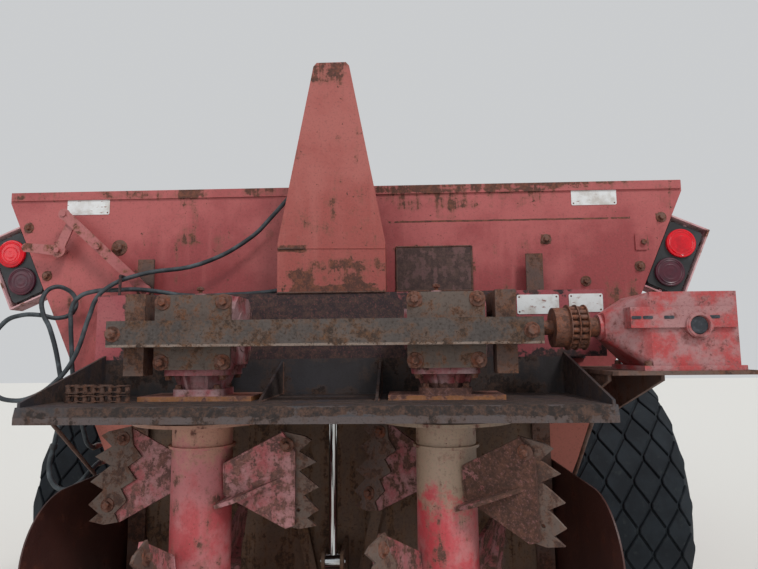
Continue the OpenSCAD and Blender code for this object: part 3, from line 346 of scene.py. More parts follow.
def added(bm, name, material, body, smooth=35):
    """Turns a finished bmesh into a piece that rides on a body."""
    bmesh.ops.recalc_face_normals(bm, faces=bm.faces)
    mesh = bpy.data.meshes.new(name)
    bm.to_mesh(mesh)
    bm.free()
    mesh.materials.append(material)
    piece = bpy.data.objects.new(name, mesh)
    bpy.context.scene.collection.objects.link(piece)
    mesh.shade_smooth()
    mesh.set_sharp_from_angle(angle=math.radians(smooth))
    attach(piece, body)
    return piece


def facing(seat, towards):
    """A frame that stands on a seat, its own z along a direction."""
    turn = Vector((0, 0, 1)).rotation_difference(Vector(towards))
    return Matrix.Translation(seat) @ turn.to_matrix().to_4x4()


def verts_in(made):
    """The vertices among the parts that an operator has made."""
    return [part for part in made if isinstance(part, bmesh.types.BMVert)]


def bead(bm, start, end, radius):
    """One straight weld bead."""
    run = end - start
    count = max(2, round(run.length / (RIPPLE / 2)))
    ring = bmesh.ops.create_circle(bm, cap_ends=True, segments=6, radius=radius,
                                   matrix=facing(start, run))["verts"]
    # A dict drops doubles and keeps the order, where a set's order would differ from run to run
    edges = list(dict.fromkeys(e for v in ring for e in v.link_edges))
    centre = start.copy()
    last = 1.0
    for k in range(1, count + 1):
        made = bmesh.ops.extrude_edge_only(bm, edges=edges)["geom"]
        ring = verts_in(made)
        edges = [e for e in made if isinstance(e, bmesh.types.BMEdge) and all(v in ring for v in e.verts)]
        bmesh.ops.translate(bm, vec=run / count, verts=ring)
        centre += run / count
        size = 1.0 if k % 2 == 0 else 0.74
        bmesh.ops.scale(bm, vec=[size / last] * 3, space=Matrix.Translation(-centre), verts=ring)
        last = size
    bmesh.ops.edgeloop_fill(bm, edges=edges)


def welds(name, runs, radius, body="frame", material=weld_rust):
    """A piece of several beads, each from one point to another."""
    bm = bmesh.new()
    for start, end in runs:
        bead(bm, start, end, radius)
    return added(bm, name, material, body, smooth=60)


corners = place_of([(0.228, -0.003, 1.903), (0.522, -0.003, 1.903),
                    (0.522, -0.003, 2.078), (0.228, -0.003, 2.078)])
welds("patch_plate_weld", list(zip(corners, corners[1:] + corners[:1])), 0.0045)


def slab(bm, low, high, corner):
    """A flat plate with rounded corners: its lowest and highest points, the thickness along y."""
    wide, tall = high.x - low.x, high.z - low.z
    middle = Vector(((low.x + high.x) / 2, high.y, (low.z + high.z) / 2))
    made = bmesh.ops.create_grid(bm, x_segments=1, y_segments=1, size=0.5,
                                 matrix=facing(middle, REAR))["verts"]
    bmesh.ops.scale(bm, vec=(wide, 1, tall), space=Matrix.Translation(-middle), verts=made)
    rounded = bmesh.ops.bevel(bm, geom=made, offset=corner, segments=4, profile=0.5,
                              affect="VERTICES", material=-1)
    flat = list(dict.fromkeys(f for v in rounded["verts"] for f in v.link_faces))
    raised = bmesh.ops.extrude_face_region(bm, geom=flat)["geom"]
    bmesh.ops.translate(bm, vec=(0, low.y - high.y, 0), verts=verts_in(raised))


# The patch plate itself: its paint burnt off by the welding, then rusted dark
burnt_plate = weathered("burnt_plate_rust", "#5E4040", "#6A4A48", "#3E2E2C", "#54403A", 0.62, patch_mm=60,
                        pitting=0.7, rough=0.75, runs=0.8)
patch = bmesh.new()
slab(patch, *place_of([(0.2305, -0.0046, 1.9055), (0.5195, -0.004, 2.0755)]), 0.004)
added(patch, "burnt_patch_plate", burnt_plate, "frame")

# Bolts through the rear wall: rusted hexagon heads on washers, one of them on a square plate.
# They are plain steel that has lost its coating, and they sit flat on the wall.
bolt_rust = weathered("rusted_bolt_steel", "#5A4037", "#6A4C41", "#41291F", "#7C4630", 0.5,
                      patch_mm=20, rough=0.75)
WASHER_THICK = 0.003


def bolts(name, seats, across, body, washer=1.1):
    """Hexagon heads, across their flats, on washers: a seat is a frame whose z is the bolt's own axis.

    Washer is the washer's radius against the head's width.
    """
    bm = bmesh.new()
    high = across * 0.62
    for seat in seats:
        on_seat = seat @ Matrix.Translation((0, 0, WASHER_THICK / 2))
        bmesh.ops.create_cone(bm, cap_ends=True, segments=20, radius1=across * washer,
                              radius2=across * washer * 0.94, depth=WASHER_THICK, matrix=on_seat)
        on_washer = seat @ Matrix.Translation((0, 0, WASHER_THICK + high / 2))
        head = bmesh.ops.create_cone(bm, cap_ends=True, segments=6, radius1=across * 0.577,
                                     radius2=across * 0.577, depth=high, matrix=on_washer)["verts"]
        outward = seat.to_3x3() @ Vector((0, 0, 1))
        top = sorted(head, key=lambda v: v.co.dot(outward))[6:]
        rim = list(dict.fromkeys(e for v in top for e in v.link_edges if all(w in top for w in e.verts)))
        bmesh.ops.bevel(bm, geom=rim, offset=across * 0.09, segments=1, profile=0.5,
                        affect="EDGES", material=-1)
    return added(bm, name, bolt_rust, body)


wall_seats = place_of([(0.814, 0, 2.101), (1.186, 0, 2.083), (-1.264, 0, 2.182), (-1.178, 0, 1.984),
                       (1.261, 0, 2.181), (1.169, 0, 1.989), (0.96, 0, 1.934)])
bolts("wall_bolts", [facing(seat, REAR) for seat in wall_seats], 0.019, "frame")
bolts("hinge_bolt", [facing(place_of([(-0.886, 0, 2.094)])[0], REAR)], 0.03, "frame")

square = bmesh.new()
slab(square, *place_of([(1.155, -0.005, 2.052), (1.2, 0.0, 2.115)]), 0.003)
added(square, "wall_bolt_plate", box_paint, "frame")

# Blank plates on the panel and the beam: white enamelled aluminium, chalky, held by four rivets each.
# They are cut from thin sheet, with their corners rounded.
white_enamel, shader, place = finish("white_enamelled_plate", rough=0.4)
chalk = noise(white_enamel, place, 60, detail=8)
scuffs = step(white_enamel, noise(white_enamel, place, 12, detail=6, stretch=(3, 1, 1)), 0.6, 0.68)
clean = blend(white_enamel, step(white_enamel, chalk, 0.42, 0.66), "#D6D8D8", "#B9B4AE")
joined(white_enamel, shader, Base_Color=blend(white_enamel, scuffs, clean, "#8E6A62"))
bump(white_enamel, shader, chalk, 0.2)
plates = bmesh.new()
rivets = bmesh.new()
for x0, x1, z0, z1, y in ((-1.108, -0.933, 2.232, 2.319, 0), (0.918, 1.093, 2.234, 2.318, 0),
                          (0.643, 0.786, 1.793, 1.86, -0.25), (0.82, 0.935, 1.798, 1.861, -0.25)):
    slab(plates, *place_of([(x0, y - 0.0015, z0), (x1, y, z1)]), 0.006)
    for x in (x0 + 0.008, x1 - 0.008):
        for z in (z0 + 0.008, z1 - 0.008):
            seat = facing(place_of([(x, y - 0.0015, z)])[0], REAR)
            bmesh.ops.create_uvsphere(rivets, u_segments=10, v_segments=6, radius=0.0032,
                                      matrix=seat @ Matrix.Diagonal((1, 1, 0.5, 1)))
added(plates, "blank_plates", white_enamel, "frame")
added(rivets, "plate_rivets", bolt_rust, "frame", smooth=60)

# Tower: folded plate in an orange red, browned where the beam's muck splashes its foot.
# A weld runs across it at the knee, and another along its foot.
tower_paint = weathered("faded_orange_red_paint", "#94423B", "#A25750", "#4C3028", "#744433", 0.12,
                        patch_mm=60, runs=0.9, pitting=0.5,
                        marks=[(0.02, 1.93, 0.17, 0.07, 0.1), (-0.115, 1.928, 0.05, 0.03, 0.14),
                               (0, 1.885, 0.2, 0.02, 0.16), (-0.15, 2.034, 0.06, 0.014, 0.2),
                               (0.03, 2.1, 0.2, 0.14, 0.03), (0, 2.7, 0.12, 0.06, 0.1)])
dress(tower_paint, "tower")
knee = place_of([(-0.189, -0.25, 2.034), (-0.098, -0.25, 2.034), (0.19, -0.25, 2.03)])
welds("tower_knee_weld", [(knee[0], knee[1])], 0.0055)
welds("tower_knee_thin_weld", [(knee[1], knee[2])], 0.0025, material=tower_paint)
welds("tower_foot_weld", [tuple(place_of([(-0.189, -0.251, 1.877), (0.189, -0.251, 1.877)]))], 0.0045)

# Running gear, floor and sill: mild steel that has lost its paint and rusted all over.
# It is plate and rolled section, cut and welded, and the wet load keeps it rusting.
rusty_plate = weathered("rusted_mild_steel", "#54403A", "#604C44", "#3E2A22", "#6E4634", 0.5,
                        pitting=0.75, rough=0.78)
dress(rusty_plate, "rails", "cross_members", "axle", "hitch_clevis", "apron", "floor", "gate_guides",
      "gearbox_platform", "beater_sill", "shield_braces", "shaft_bearings", "rim_left", "rim_right")

# Head beam: rolled channel in a dark purple brown rust, with red paint left on its two ends.
# It spans the machine above the tray, and the tower is welded to it.
beam_steel = weathered("dark_brown_beam_rust", "#94444A", "#9C5658", "#2E2326", "#4E3832", 1.0, patch_mm=200,
                       pitting=0.5, rough=0.8,
                       marks=[(-0.79, 1.76, 0.06, 0.13, -0.35), (0.8, 1.78, 0.2, 0.12, -0.36)])
dress(beam_steel, "head_beam")

# Guard channel and its posts: rolled steel in a grey brown rust, with a painted highlight along the channel's
# lower edge.
# Two bolts hold the channel, one at each end.
channel_steel = weathered("grey_brown_channel_rust_and_edge_highlight", "#3C3532", "#544A45", "#32251D", "#64442E", 0.42,
                          patch_mm=80, pitting=1.0, rough=0.72, runs=0.2, foot=(1.695, "#7E6E64"))
post_steel = weathered("brown_post_rust", "#53403A", "#5C4B42", "#3E2B23", "#704833", 0.5, patch_mm=60,
                       pitting=0.75, rough=0.8)
dress(channel_steel, "guard_channel")
dress(post_steel, "guard_posts")
bolts("channel_bolts", [facing(p, REAR) for p in place_of([(-0.591, -0.615, 1.726), (0.611, -0.615, 1.726)])],
      0.026, "frame", washer=0.9)

# Gate and tray: bare plate that muck has worn and stained dark, rubbed smooth where the load slides.
# The tray's gussets are welded to its floor and to its back wall.
gate_plate = weathered("muck_stained_plate", "#665042", "#756050", "#46352A", "#7E5C42", 0.45,
                       pitting=0.75, rough=0.7, runs=1.0)
# Below 1.5 m the lip takes a lighter grey: its own grey lower face, made lighter still as painted light from
# outside.
tray_plate = weathered("worn_tray_plate_and_lip_light", "#241D1E", "#322F33", "#211815", "#4E372C", 0.42,
                       pitting=0.75, rough=0.6, foot=(1.5, "#4E4342"),
                       marks=[(-0.03, 1.59, 0.11, 0.04, -0.2), (0, 1.514, 0.82, 0.014, 0.12)])
dress(gate_plate, "gate")
dress(tray_plate, "tray")
gusset_runs = []
for side in (-1, 1):
    for x in (0.166, 0.174):
        gusset_runs.append(tuple(place_of([(side * x, -0.25, 1.528), (side * x, -0.57, 1.528)])))
        gusset_runs.append(tuple(place_of([(side * x, -0.251, 1.528), (side * x, -0.251, 1.638)])))
welds("gusset_welds", gusset_runs, 0.0035)

# Gate cylinder: a red painted barrel. Its rod is hard chromed steel, bright and smooth under dust.
# The jack's tube and leg have the same two finishes.
gear_enamel = weathered("worn_red_enamel", "#A63C42", "#A08288", "#58372F", "#805044", 0.2, patch_mm=60,
                        fade_mm=130, rough=0.42)
dress(gear_enamel, "cylinder_barrel", "jack_tube")
chrome, shader, place = finish("chromed_rod", rough=0.12, metal=1)
tinted(chrome, shader, noise(chrome, place, 40, stretch=(1, 1, 6)), 0.45, 0.8, "#C8CACC", "#9A948C")
dress(chrome, "cylinder_rod", "jack_leg")

# Gate linkage: flat bars, the strut still pink red and the crank brown with rust.
# They are cut from flat bar and joined by pins.
strut_paint = weathered("rubbed_red_bar_paint", "#95484A", "#A4605F", "#4E3228", "#7A4A34", 0.34, patch_mm=50)
dress(strut_paint, "indicator_linkage")

# Beater gearboxes: red castings with worn ribs, between rusted cover plates held by four bolts each.
# Nuts hang below the neck's flange, bolt heads stand on the base flange, and a breather tops the housing.
BEATER_X = 0.375
BEATER_Y = -0.445
COVER_Z = 1.732
COVER_BOLT_X = 0.092
COVER_BOLT_Z = 0.089
# The dark rust mark on the right box's base flange is painted shade.
house_enamel = weathered("worn_red_casting_and_flange_shade", "#8E4146", "#99787A", "#4A302B", "#6E4A3E", 0.32, patch_mm=60,
                         fade_mm=110, rough=0.5, pitting=0.5,
                         marks=[(BEATER_X, 1.556, 0.13, 0.018, 0.3)], foot=(1.541, "#86562F"))
cover_marks = [(side * BEATER_X + a * COVER_BOLT_X, COVER_Z + b * COVER_BOLT_Z, 0.022, 0.022, 0.14)
               for side in (-1, 1) for a in (-1, 1) for b in (-1, 1)]
cover_steel = weathered("olive_brown_cover_rust", "#534741", "#5F524A", "#412E23", "#744A30", 0.34,
                        patch_mm=50, pitting=0.8, rough=0.78, runs=0.3, marks=cover_marks)
dress(house_enamel, "beater_gearboxes")
dress(cover_steel, "gearbox_covers")
cover_seats = []
flange_seats = []
for middle in (-BEATER_X, BEATER_X):
    for a in (-1, 1):
        for b in (-1, 1):
            cover, neck, base = place_of([(middle + a * COVER_BOLT_X, -0.565, COVER_Z + b * COVER_BOLT_Z),
                                          (middle + a * 0.082, BEATER_Y + b * 0.082, 1.603),
                                          (middle + a * 0.059, BEATER_Y + b * 0.059, 1.561)])
            cover_seats.append(facing(cover, REAR))
            flange_seats.append(facing(neck, (0, 0, -1)))
            flange_seats.append(facing(base, (0, 0, 1)))
bolts("cover_bolts", cover_seats, 0.022, "frame")
bolts("gearbox_flange_bolts", flange_seats, 0.017, "frame", washer=0.8)


def spun(name, outline, centre, axis, material, body, steps=48):
    """A piece turned about an axis: the outline's points are (radius, place along the axis)."""
    bm = bmesh.new()
    along = Vector(axis).normalized()
    across = along.orthogonal().normalized()
    knots = [bm.verts.new(centre + across * r + along * d) for r, d in outline]
    lines = [bm.edges.new(pair) for pair in zip(knots, knots[1:])]
    bmesh.ops.spin(bm, geom=lines, cent=centre, axis=along, angle=math.tau, steps=steps, use_merge=True)
    bmesh.ops.remove_doubles(bm, verts=bm.verts, dist=0.00001)
    return added(bm, name, material, body, smooth=30)


breather = [(0, 0), (0.01, 0), (0.006, 0.004), (0.006, 0.009), (0.012, 0.012), (0.012, 0.02), (0, 0.024)]
for name, x in (("left_gearbox_breather", -0.395), ("right_gearbox_breather", 0.355)):
    spun(name, breather, place_of([(x, BEATER_Y, 1.857)])[0], (0, 0, 1), bolt_rust, "frame",
         steps=20)

# Cross drive: chain, hubs and shaft of bare steel in an even orange brown rust, oiled between the rollers.
# The double roller chain wraps two hubs and so joins the shafts.
bare_rust = weathered("orange_brown_rust", "#5E3E33", "#6C493C", "#442C23", "#844C32", 0.5, patch_mm=30,
                      pitting=0.75, rough=0.7)
dress(bare_rust, "chain_coupler", "loose_chain", "cross_shaft")

# Loose length of double roller chain on the tray's left end: riveted steel links in the same dark rust.
# It stands on its side plates and is folded once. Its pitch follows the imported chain's.
CHAIN_PITCH = 0.0254
chain_rust = weathered("dark_brown_chain_rust", "#4A342C", "#5A4238", "#33231E", "#6A432F", 0.5, patch_mm=20,
                       pitting=0.75, rough=0.78)
chain = bmesh.new()
pin = place_of([(-0.562, -0.5655, 1.5272)])[0]
for link, heading in enumerate((184, 178, 175, 182, 181, 178, 177, 125, 60, 3, -3, -1, 2)):
    turned = Matrix.Translation(pin) @ Matrix.Rotation(math.radians(heading), 4, "Z")
    inner = 0.003 * (link % 2)
    for z in (inner, 0.0205 - inner, 0.0275 + inner, 0.048 - inner):
        end = bmesh.ops.create_circle(chain, cap_ends=True, segments=12, radius=0.0088)["verts"]
        bmesh.ops.translate(chain, vec=(CHAIN_PITCH, 0, 0), verts=[v for v in end if v.co.x > 0.001])
        risen = verts_in(bmesh.ops.extrude_face_region(chain, geom=[end[0].link_faces[0]])["geom"])
        bmesh.ops.translate(chain, vec=(0, 0, 0.0025), verts=risen)
        bmesh.ops.transform(chain, matrix=turned @ Matrix.Translation((0, 0, z)), verts=end + risen)
    for low, high, radius in ((0.004, 0.0195, 0.0072), (0.0315, 0.047, 0.0072), (0, 0.052, 0.0036)):
        bmesh.ops.create_cone(chain, cap_ends=True, segments=12, radius1=radius, radius2=radius,
                              depth=high - low, matrix=turned @ Matrix.Translation((0, 0, (low + high) / 2)))
    pin = turned @ Vector((CHAIN_PITCH, 0, 0))
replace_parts(added(chain, "folded_chain_links", chain_rust, "frame"), "loose_chain")

# Shafts and pipes: drawn steel, dulled to grey brown by weather.
# The pipes are seamless tube and the shafts are turned bar.
drawn_steel, shader, place = finish("drawn_steel", rough=0.45, metal=1)
tinted(drawn_steel, shader, noise(drawn_steel, place, 50, detail=8), 0.4, 0.62, "#8E8A84", "#5A4438")
dress(drawn_steel, "apron_shafts", "line_shaft", "hydraulic_pipes")

# Side gearbox: a red casting worn to a pinkish grey, bright red where muck kept the sun off it.
# Four short slots lie in its band as flat dark plates, painted shade of their openings, and a black plug with
# a pale ring closes the rear bore.
side_enamel = weathered("sun_bleached_casting", "#A83A3B", "#A07272", "#74403E", "#8E5A58", 0.24, patch_mm=45,
                        fade_mm=100, pitting=0.6, rough=0.42, marks=[(1.085, 1.72, 0.06, 0.05, 0.04)])
dress(side_enamel, "side_gearbox")
black_oxide_and_slot_shade, shader, place = finish("black_oxide_plug", rough=0.4, metal=0.6)
worn = noise(black_oxide_and_slot_shade, place, 15)
tinted(black_oxide_and_slot_shade, shader, worn, 0.45, 0.7, "#3A3D42", "#565A60")
bump(black_oxide_and_slot_shade, shader, worn, 0.2)
bore = place_of([(1.093, -0.571, 1.736)])[0]
spun("bore_plug", [(0, 0.002), (0.024, 0.002), (0.026, 0), (0.0265, -0.004), (0, -0.004)], bore, REAR,
     black_oxide_and_slot_shade, "frame")
spun("bore_ring", [(0.0275, 0.007), (0.029, 0.0105), (0.034, 0.0105), (0.036, 0.007)], bore, REAR,
     side_enamel, "frame")
# The band's slots are flat dark plates: painted shade.
slots = bmesh.new()
for x in (0.918, 0.95, 1.01, 1.138):
    slab(slots, *place_of([(x - 0.014, -0.5745, 1.755), (x + 0.014, -0.5725, 1.764)]), 0.003)
added(slots, "band_slot_shade_plates", black_oxide_and_slot_shade, "frame")
side_seats = place_of([(0.947, -0.563, 1.622), (0.947, -0.327, 1.622)])
bolts("side_gearbox_bolts", [facing(seat, (0, 0, 1)) for seat in side_seats], 0.017, "frame", washer=0.7)

# Beaters: welded steel, red enamel scoured by the load, the right tube rubbed to a tan grey at the top.
# Each arm is welded along the tube.
tube_left = weathered("scoured_left_tube", "#AC464A", "#B0686A", "#553830", "#7C5246", 0.24, patch_mm=60,
                      fade_mm=140, rough=0.5, runs=0.8, scoured=(1.37, "#B0826E"))
tube_right = weathered("scoured_right_tube", "#B43A42", "#B06C6C", "#553830", "#7C5246", 0.26, patch_mm=60,
                       fade_mm=140, rough=0.5, runs=0.8, scoured=(1.24, "#98826F"))
arm_left = weathered("scoured_left_arm_enamel", "#A65054", "#AC7A7C", "#5E423E", "#82584E", 0.5, patch_mm=34,
                     fade_mm=120, pitting=0.8, rough=0.6, runs=0.6)
arm_right = weathered("scoured_right_arm_enamel", "#8E4246", "#946668", "#412B22", "#603E31", 0.5,
                      patch_mm=34, fade_mm=120, pitting=0.8, rough=0.6, runs=0.6,
                      marks=[(0.65, 1.3, 0.22, 0.18, 0.16)])
knife_steel = weathered("grey_brown_knife_rust", "#564640", "#63544C", "#43302A", "#6E4C3C", 0.46,
                        patch_mm=40, pitting=0.75, rough=0.7)
dress(tube_left, "beater_tube_left")
dress(tube_right, "beater_tube_right")
dress(arm_left, "beater_paddles_left")
dress(arm_right, "beater_paddles_right")
dress(knife_steel, "beater_knives_left", "beater_knives_right")
for body, side, turn, enamel in (("beater_left", -1, 180, arm_left), ("beater_right", 1, -32, arm_right)):
    arm_runs = []
    knife_seats = []
    for row, start in ((1.29, 0), (1.035, 90), (0.785, 0)):
        for arm in (0, 180):
            leaned = (Matrix.Translation((side * BEATER_X, BEATER_Y - MIDDLE, row))
                      @ Matrix.Rotation(math.radians(turn + start + arm), 4, "Z")
                      @ Matrix.Translation((0, -0.048, 0)) @ Matrix.Rotation(math.radians(8), 4, "X"))
            for y in (-0.006, 0.006):
                arm_runs.append((leaned @ Vector((0.085, y, -0.038)), leaned @ Vector((0.085, y, 0.05))))
            for x, z in ((0.275, 0.109), (0.304, -0.091)):
                knife_seats.append(leaned @ Matrix.Translation((x, 0.014, z))
                                   @ Matrix.Rotation(-math.pi / 2, 4, "X"))
                if x < 0.3:
                    knife_seats.append(leaned @ Matrix.Translation((x, -0.006, z))
                                       @ Matrix.Rotation(math.pi / 2, 4, "X"))
    welds(body + "_arm_welds", arm_runs, 0.0035, body, enamel)
    bolts(body + "_knife_bolts", knife_seats, 0.02, body)

# Side shields: thin plate coloured a dark maroon, painted shade on their inward faces, with rust only along
# scratches.
# They close the beaters in on both sides.
shield_paint = weathered("maroon_painted_shade", "#361B17", "#452620", "#2A1712", "#64392A", 0.18, rough=0.5)
dress(shield_paint, "side_shields")

# Guard of the power take-off and the lamp housings: black moulded plastic, a little chalky.
# The guard ends in a bell at each end of its tube.
black_plastic, shader, place = finish("black_moulded_plastic", rough=0.5)
tinted(black_plastic, shader, noise(black_plastic, place, 120), 0.4, 0.75, "#17181B", "#34363A")
bump(black_plastic, shader, noise(black_plastic, place, 2, detail=2), 0.15)
dress(black_plastic, "pto_shaft", "lamp_housings")
bell = [(0.0455, 0), (0.0455, 0.02), (0.052, 0.028), (0.058, 0.06), (0.07, 0.105), (0.0725, 0.105),
        (0.073, 0.112), (0.069, 0.112), (0.055, 0.064), (0.0475, 0.03), (0.0475, 0)]
for name, y, way in (("front_guard_bell", 5.56, 1), ("rear_guard_bell", 5.02, -1)):
    spun(name, bell, place_of([(0, y, 0.765)])[0], (0, way, 0), black_plastic, "pto_drive")

# Lamp brackets: flat steel under a pink faded paint.
# Their bars end on the box, and two studs carry each housing.
bracket_paint = weathered("faded_pink_paint", "#B07880", "#C29A9C", "#5A3A2E", "#86503C", 0.26, patch_mm=60)
dress(bracket_paint, "lamp_brackets")

# Tail lamps: round red lenses of moulded acrylic with concentric ribs, held in a black rubber rim.
# The upper lens of each pair is still clear, and the lower one has gone dull and purple.
clear_red, shader, place = finish("clear_red_acrylic", rough=0.1, ior=1.49)
tinted(clear_red, shader, noise(clear_red, place, 50), 0.4, 0.7, "#D40A1E", "#B00A1C")
dull_red, shader, place = finish("dulled_red_acrylic", rough=0.35, ior=1.49)
tinted(dull_red, shader, noise(dull_red, place, 50), 0.4, 0.7, "#4A1224", "#381826")
# The pair's middle: its height, how far it stands out from the wall, and from there to each lens
LAMP_Z = 2.02
LAMP_OUT = 0.076
LENS_STEP = 0.061
lens = [(0, -0.0085)]
for ring in range(6):
    r = 0.006 + ring * 0.0075
    lens += [(r, -0.0075 - 0.0009 * (ring % 2)), (r + 0.004, -0.0085 + 0.0005 * ring)]
lens += [(0.0475, -0.0035), (0.0475, -0.006), (0.05, -0.0075), (0.0545, -0.0065), (0.056, -0.004),
         (0.056, 0.0247), (0, 0.0247)]
lenses = []
for side in (-1, 1):
    for up, material in ((1, clear_red), (-1, dull_red)):
        x = wall_x(LAMP_Z) + LAMP_OUT + up * LENS_STEP * math.sin(WALL_ANGLE)
        centre = place_of([(side * x, 0, LAMP_Z + up * LENS_STEP * math.cos(WALL_ANGLE))])[0]
        name = ("left" if side < 0 else "right") + ("_upper" if up > 0 else "_lower") + "_lens"
        lenses.append(spun(name, lens, centre, (0, 1, 0), material, "frame", steps=56))
for piece in lenses:
    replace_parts(piece, "lamp_lenses")

# Tyres: black rubber, moulded with a road tread of long diamond blocks, dusty in the grooves.
# Each tyre is one revolved case with the blocks standing on its crown and wrapped over its shoulders.
TYRE_RADIUS = 0.8
TREAD_DEPTH = 0.013
WHEEL_X = 1.368
AXLE_Y = 1.5 - MIDDLE
BLOCKS_ROUND = 22
ROWS_PER_SIDE = 4
ROW_PITCH = 0.068

# Its IOR is below rubber's own, because the dust dulls its shine
tyre_rubber, shader, place = finish("dusty_tyre_rubber", rough=0.8, ior=1.36)
dusty = noise(tyre_rubber, place, 140, detail=8)
grimy = noise(tyre_rubber, place, 30, detail=6)
rubber = blend(tyre_rubber, step(tyre_rubber, dusty, 0.4, 0.66), "#0F151B", "#1A2127")
tinted(tyre_rubber, shader, grimy, 0.55, 0.75, rubber, "#24292B")
bump(tyre_rubber, shader, grimy, 0.8)


def over_crown(s):
    """A point (x, radius) at a distance s over the tyre's outside from its middle, and the way out of it."""
    profile = [(0, 0.8), (0.13, 0.8), (0.19, 0.796), (0.2425, 0.786), (0.27, 0.768), (0.2925, 0.743),
               (0.31, 0.71), (0.3235, 0.675)]
    left = abs(s)
    for (x0, r0), (x1, r1) in zip(profile, profile[1:]):
        run = math.hypot(x1 - x0, r1 - r0)
        if left <= run or (x1, r1) == profile[-1]:
            share = left / run
            out = ((r0 - r1) / run, (x1 - x0) / run)
            x = math.copysign(x0 + (x1 - x0) * share, s)
            return x, r0 + (r1 - r0) * share, math.copysign(out[0], s), out[1]
        left -= run


def tyre(side, body):
    """One tyre with its tread, about its own axle."""
    bm = bmesh.new()
    # The case's outside from one bead over the crown to the other, then its inside
    outline = [(-0.2825, 0.33), (-0.2945, 0.39), (-0.3335, 0.48), (-0.3375, 0.56), (-0.334, 0.62),
               (-0.3215, 0.668), (-0.305, 0.7), (-0.284, 0.732), (-0.262, 0.757), (-0.236, 0.774),
               (-0.188, 0.783), (-0.1, 0.787), (0, 0.787)]
    outline += [(-x, r) for x, r in reversed(outline[:-1])]
    inner = [(0.2425, 0.33), (0.2485, 0.38), (0.2975, 0.48), (0.3, 0.56), (0.278, 0.69), (0.2, 0.74)]
    outline += inner + [(-x, r) for x, r in reversed(inner)]
    ring = [bm.verts.new((x, 0, r)) for x, r in outline]
    edges = [bm.edges.new((a, b)) for a, b in zip(ring, ring[1:] + ring[:1])]
    bmesh.ops.spin(bm, geom=edges, cent=(0, 0, 0), axis=(1, 0, 0), angle=math.tau, steps=120, use_merge=True)
    blocks = bmesh.new()
    length = TYRE_RADIUS * math.tau / BLOCKS_ROUND
    for row in range(-ROWS_PER_SIDE, ROWS_PER_SIDE + 1):
        for place_round in range(BLOCKS_ROUND):
            made = bmesh.ops.create_circle(blocks, cap_ends=True, segments=6, radius=1)["verts"]
            face = made[0].link_faces[0]
            # A long diamond whose side corners are cut short
            for v in made:
                v.co = (v.co.x / 0.866, v.co.y, 0) if abs(v.co.y) < 0.9 else (0, v.co.y, 0)
                if abs(v.co.x) > 0.1:
                    v.co.y *= 0.24
            raised = verts_in(bmesh.ops.extrude_face_region(blocks, geom=[face])["geom"])
            shift = 0.5 * (row % 2)
            for v in made + raised:
                narrow = 0.93 if v in raised else 1.0
                across = row * ROW_PITCH + v.co.x * 0.061 * narrow
                along = (place_round + shift) * length + v.co.y * length * 0.45 * narrow
                v.co = (across, along, TREAD_DEPTH if v in raised else -0.004)
    bmesh.ops.bevel(blocks, geom=[e for e in blocks.edges if all(v.co.z > 0 for v in e.verts)], offset=0.003,
                    segments=1, profile=0.5, affect="EDGES", material=-1)
    for v in blocks.verts:
        angle = v.co.y / TYRE_RADIUS
        x, r, out_x, out_r = over_crown(v.co.x)
        lift = v.co.z - TREAD_DEPTH
        r += out_r * lift
        v.co = (x + out_x * lift, r * math.sin(angle), r * math.cos(angle))
    tread = bpy.data.meshes.new("tread")
    blocks.to_mesh(tread)
    blocks.free()
    bm.from_mesh(tread)
    bpy.data.meshes.remove(tread)
    bmesh.ops.transform(bm, matrix=Matrix.Translation((side * WHEEL_X, AXLE_Y, TYRE_RADIUS)), verts=bm.verts)
    return added(bm, body.replace("wheel", "tyre") + "_with_tread", tyre_rubber, body, smooth=30)


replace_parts(tyre(-1, "wheel_left"), "tyre_left")
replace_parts(tyre(1, "wheel_right"), "tyre_right")

# Wheel nuts: rusted hexagons on washers, in a circle on the outer face of each wheel's disc.
# Eight hold each wheel on its hub.
NUTS = 8
NUT_CIRCLE = 0.125
for side, body in ((-1, "wheel_left"), (1, "wheel_right")):
    nuts = []
    for k in range(NUTS):
        angle = math.tau * (k + 0.5) / NUTS
        seat = Vector((side * (WHEEL_X - 0.006), AXLE_Y + NUT_CIRCLE * math.sin(angle),
                       TYRE_RADIUS + NUT_CIRCLE * math.cos(angle)))
        nuts.append(facing(seat, (side, 0, 0)))
    bolts(body + "_nuts", nuts, 0.03, body, washer=0.75)

# Hose fittings: crimped steel ferrules where the hoses meet the pipes, a tie and a clamp of black plastic on
# the upper hose, and steel clips that hold the pipes to the ribs, with a bolt between each two.
ferrule = [(0.0087, 0), (0.0115, 0.002), (0.0115, 0.012), (0.0105, 0.014), (0.0115, 0.016),
           (0.0115, 0.026), (0.0105, 0.028), (0.0115, 0.03), (0.0115, 0.042), (0.0087, 0.044)]
for name, z in (("upper_hose_ferrule", LOW_PIPE_Z), ("lower_hose_ferrule", HIGH_PIPE_Z)):
    spun(name, ferrule, place_of([(pipe_x(z), 0.012, z)])[0], (0, 1, 0), drawn_steel, "frame")

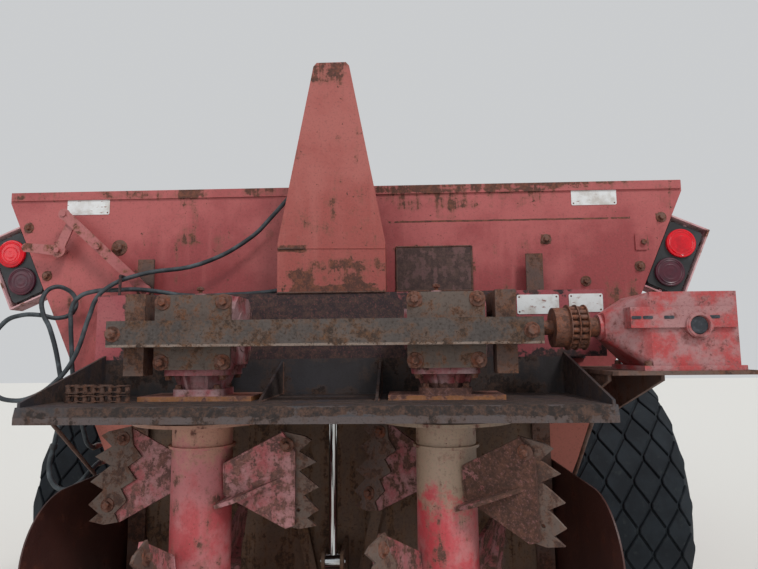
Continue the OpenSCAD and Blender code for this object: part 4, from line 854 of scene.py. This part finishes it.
bands = [(0.0083, -0.004), (0.0098, -0.004), (0.0103, -0.003), (0.0103, 0.003), (0.0098, 0.004),
         (0.0083, 0.004)]
loop = place_of([(-1.078, -0.072, 1.81), (-1.046, -0.034, 1.834), (-1.04, -0.026, 1.884)])
spun("hose_tie", bands, loop[1], loop[2] - loop[0], black_plastic, "frame")
drop = place_of([(-1.034, -0.094, 1.5), (-1.056, -0.095, 1.33), (-1.07, -0.094, 1.262)])
spun("hose_clamp", [(r * 1.2, d * 2.4) for r, d in bands], drop[1], drop[2] - drop[0], black_plastic, "frame")
RIB_YS = (0.15, 0.7, 2.4, 3.1, 3.85, 4.6)
CLIP_BOLT_Z = 1.28
clip_bolts = []
for k, y in enumerate(RIB_YS):
    for z in (LOW_PIPE_Z, HIGH_PIPE_Z):
        spun("pipe_clip_%d_%d" % (k + 1, z * 1000), [(r, d * 2.5) for r, d in bands],
             place_of([(pipe_x(z), y, z)])[0], (0, 1, 0), drawn_steel, "frame", steps=24)
    out = (PIPE_RADIUS + SEAT_GAP) / math.cos(WALL_ANGLE)
    bolt_seat = place_of([(pipe_x(CLIP_BOLT_Z) + out, y, CLIP_BOLT_Z)])[0]
    clip_bolts.append(facing(bolt_seat, (-1, 0, -WALL_SLOPE)))
bolts("pipe_clip_bolts", clip_bolts, 0.016, "frame", washer=0.9)

# A plain pale floor and soft daylight from above and behind the camera's right shoulder.
# They serve the renders, and none of them is attached to a body of the machine.
floor_mesh = bmesh.new()
bmesh.ops.create_grid(floor_mesh, x_segments=1, y_segments=1, size=30)
mesh = bpy.data.meshes.new("studio_floor")
floor_mesh.to_mesh(mesh)
floor_mesh.free()
studio_floor = bpy.data.objects.new("studio_floor", mesh)
bpy.context.scene.collection.objects.link(studio_floor)
pale, shader, place = finish("pale_floor", rough=0.9)
shader.inputs["Base Color"].default_value = colour("#D9D7D2")
mesh.materials.append(pale)

world = bpy.data.worlds.new("soft_daylight")
bpy.context.scene.world = world
world.use_nodes = True
world.node_tree.nodes["Background"].inputs["Color"].default_value = colour("#E6E8EA")
world.node_tree.nodes["Background"].inputs["Strength"].default_value = 0.75


def lamp(name, energy, angle, elevation, azimuth):
    """A wide soft lamp, far away, that shines from an elevation and an azimuth in degrees."""
    data = bpy.data.lights.new(name, "SUN")
    data.energy = energy
    data.angle = math.radians(angle)
    piece = bpy.data.objects.new(name, data)
    piece.rotation_euler = (math.radians(90 - elevation), 0, math.radians(azimuth))
    bpy.context.scene.collection.objects.link(piece)


lamp("key_light", 1.7, 12, 48, 38)
lamp("fill_light", 0.5, 40, 20, -35)

bpy.context.scene.view_settings.view_transform = "Standard"
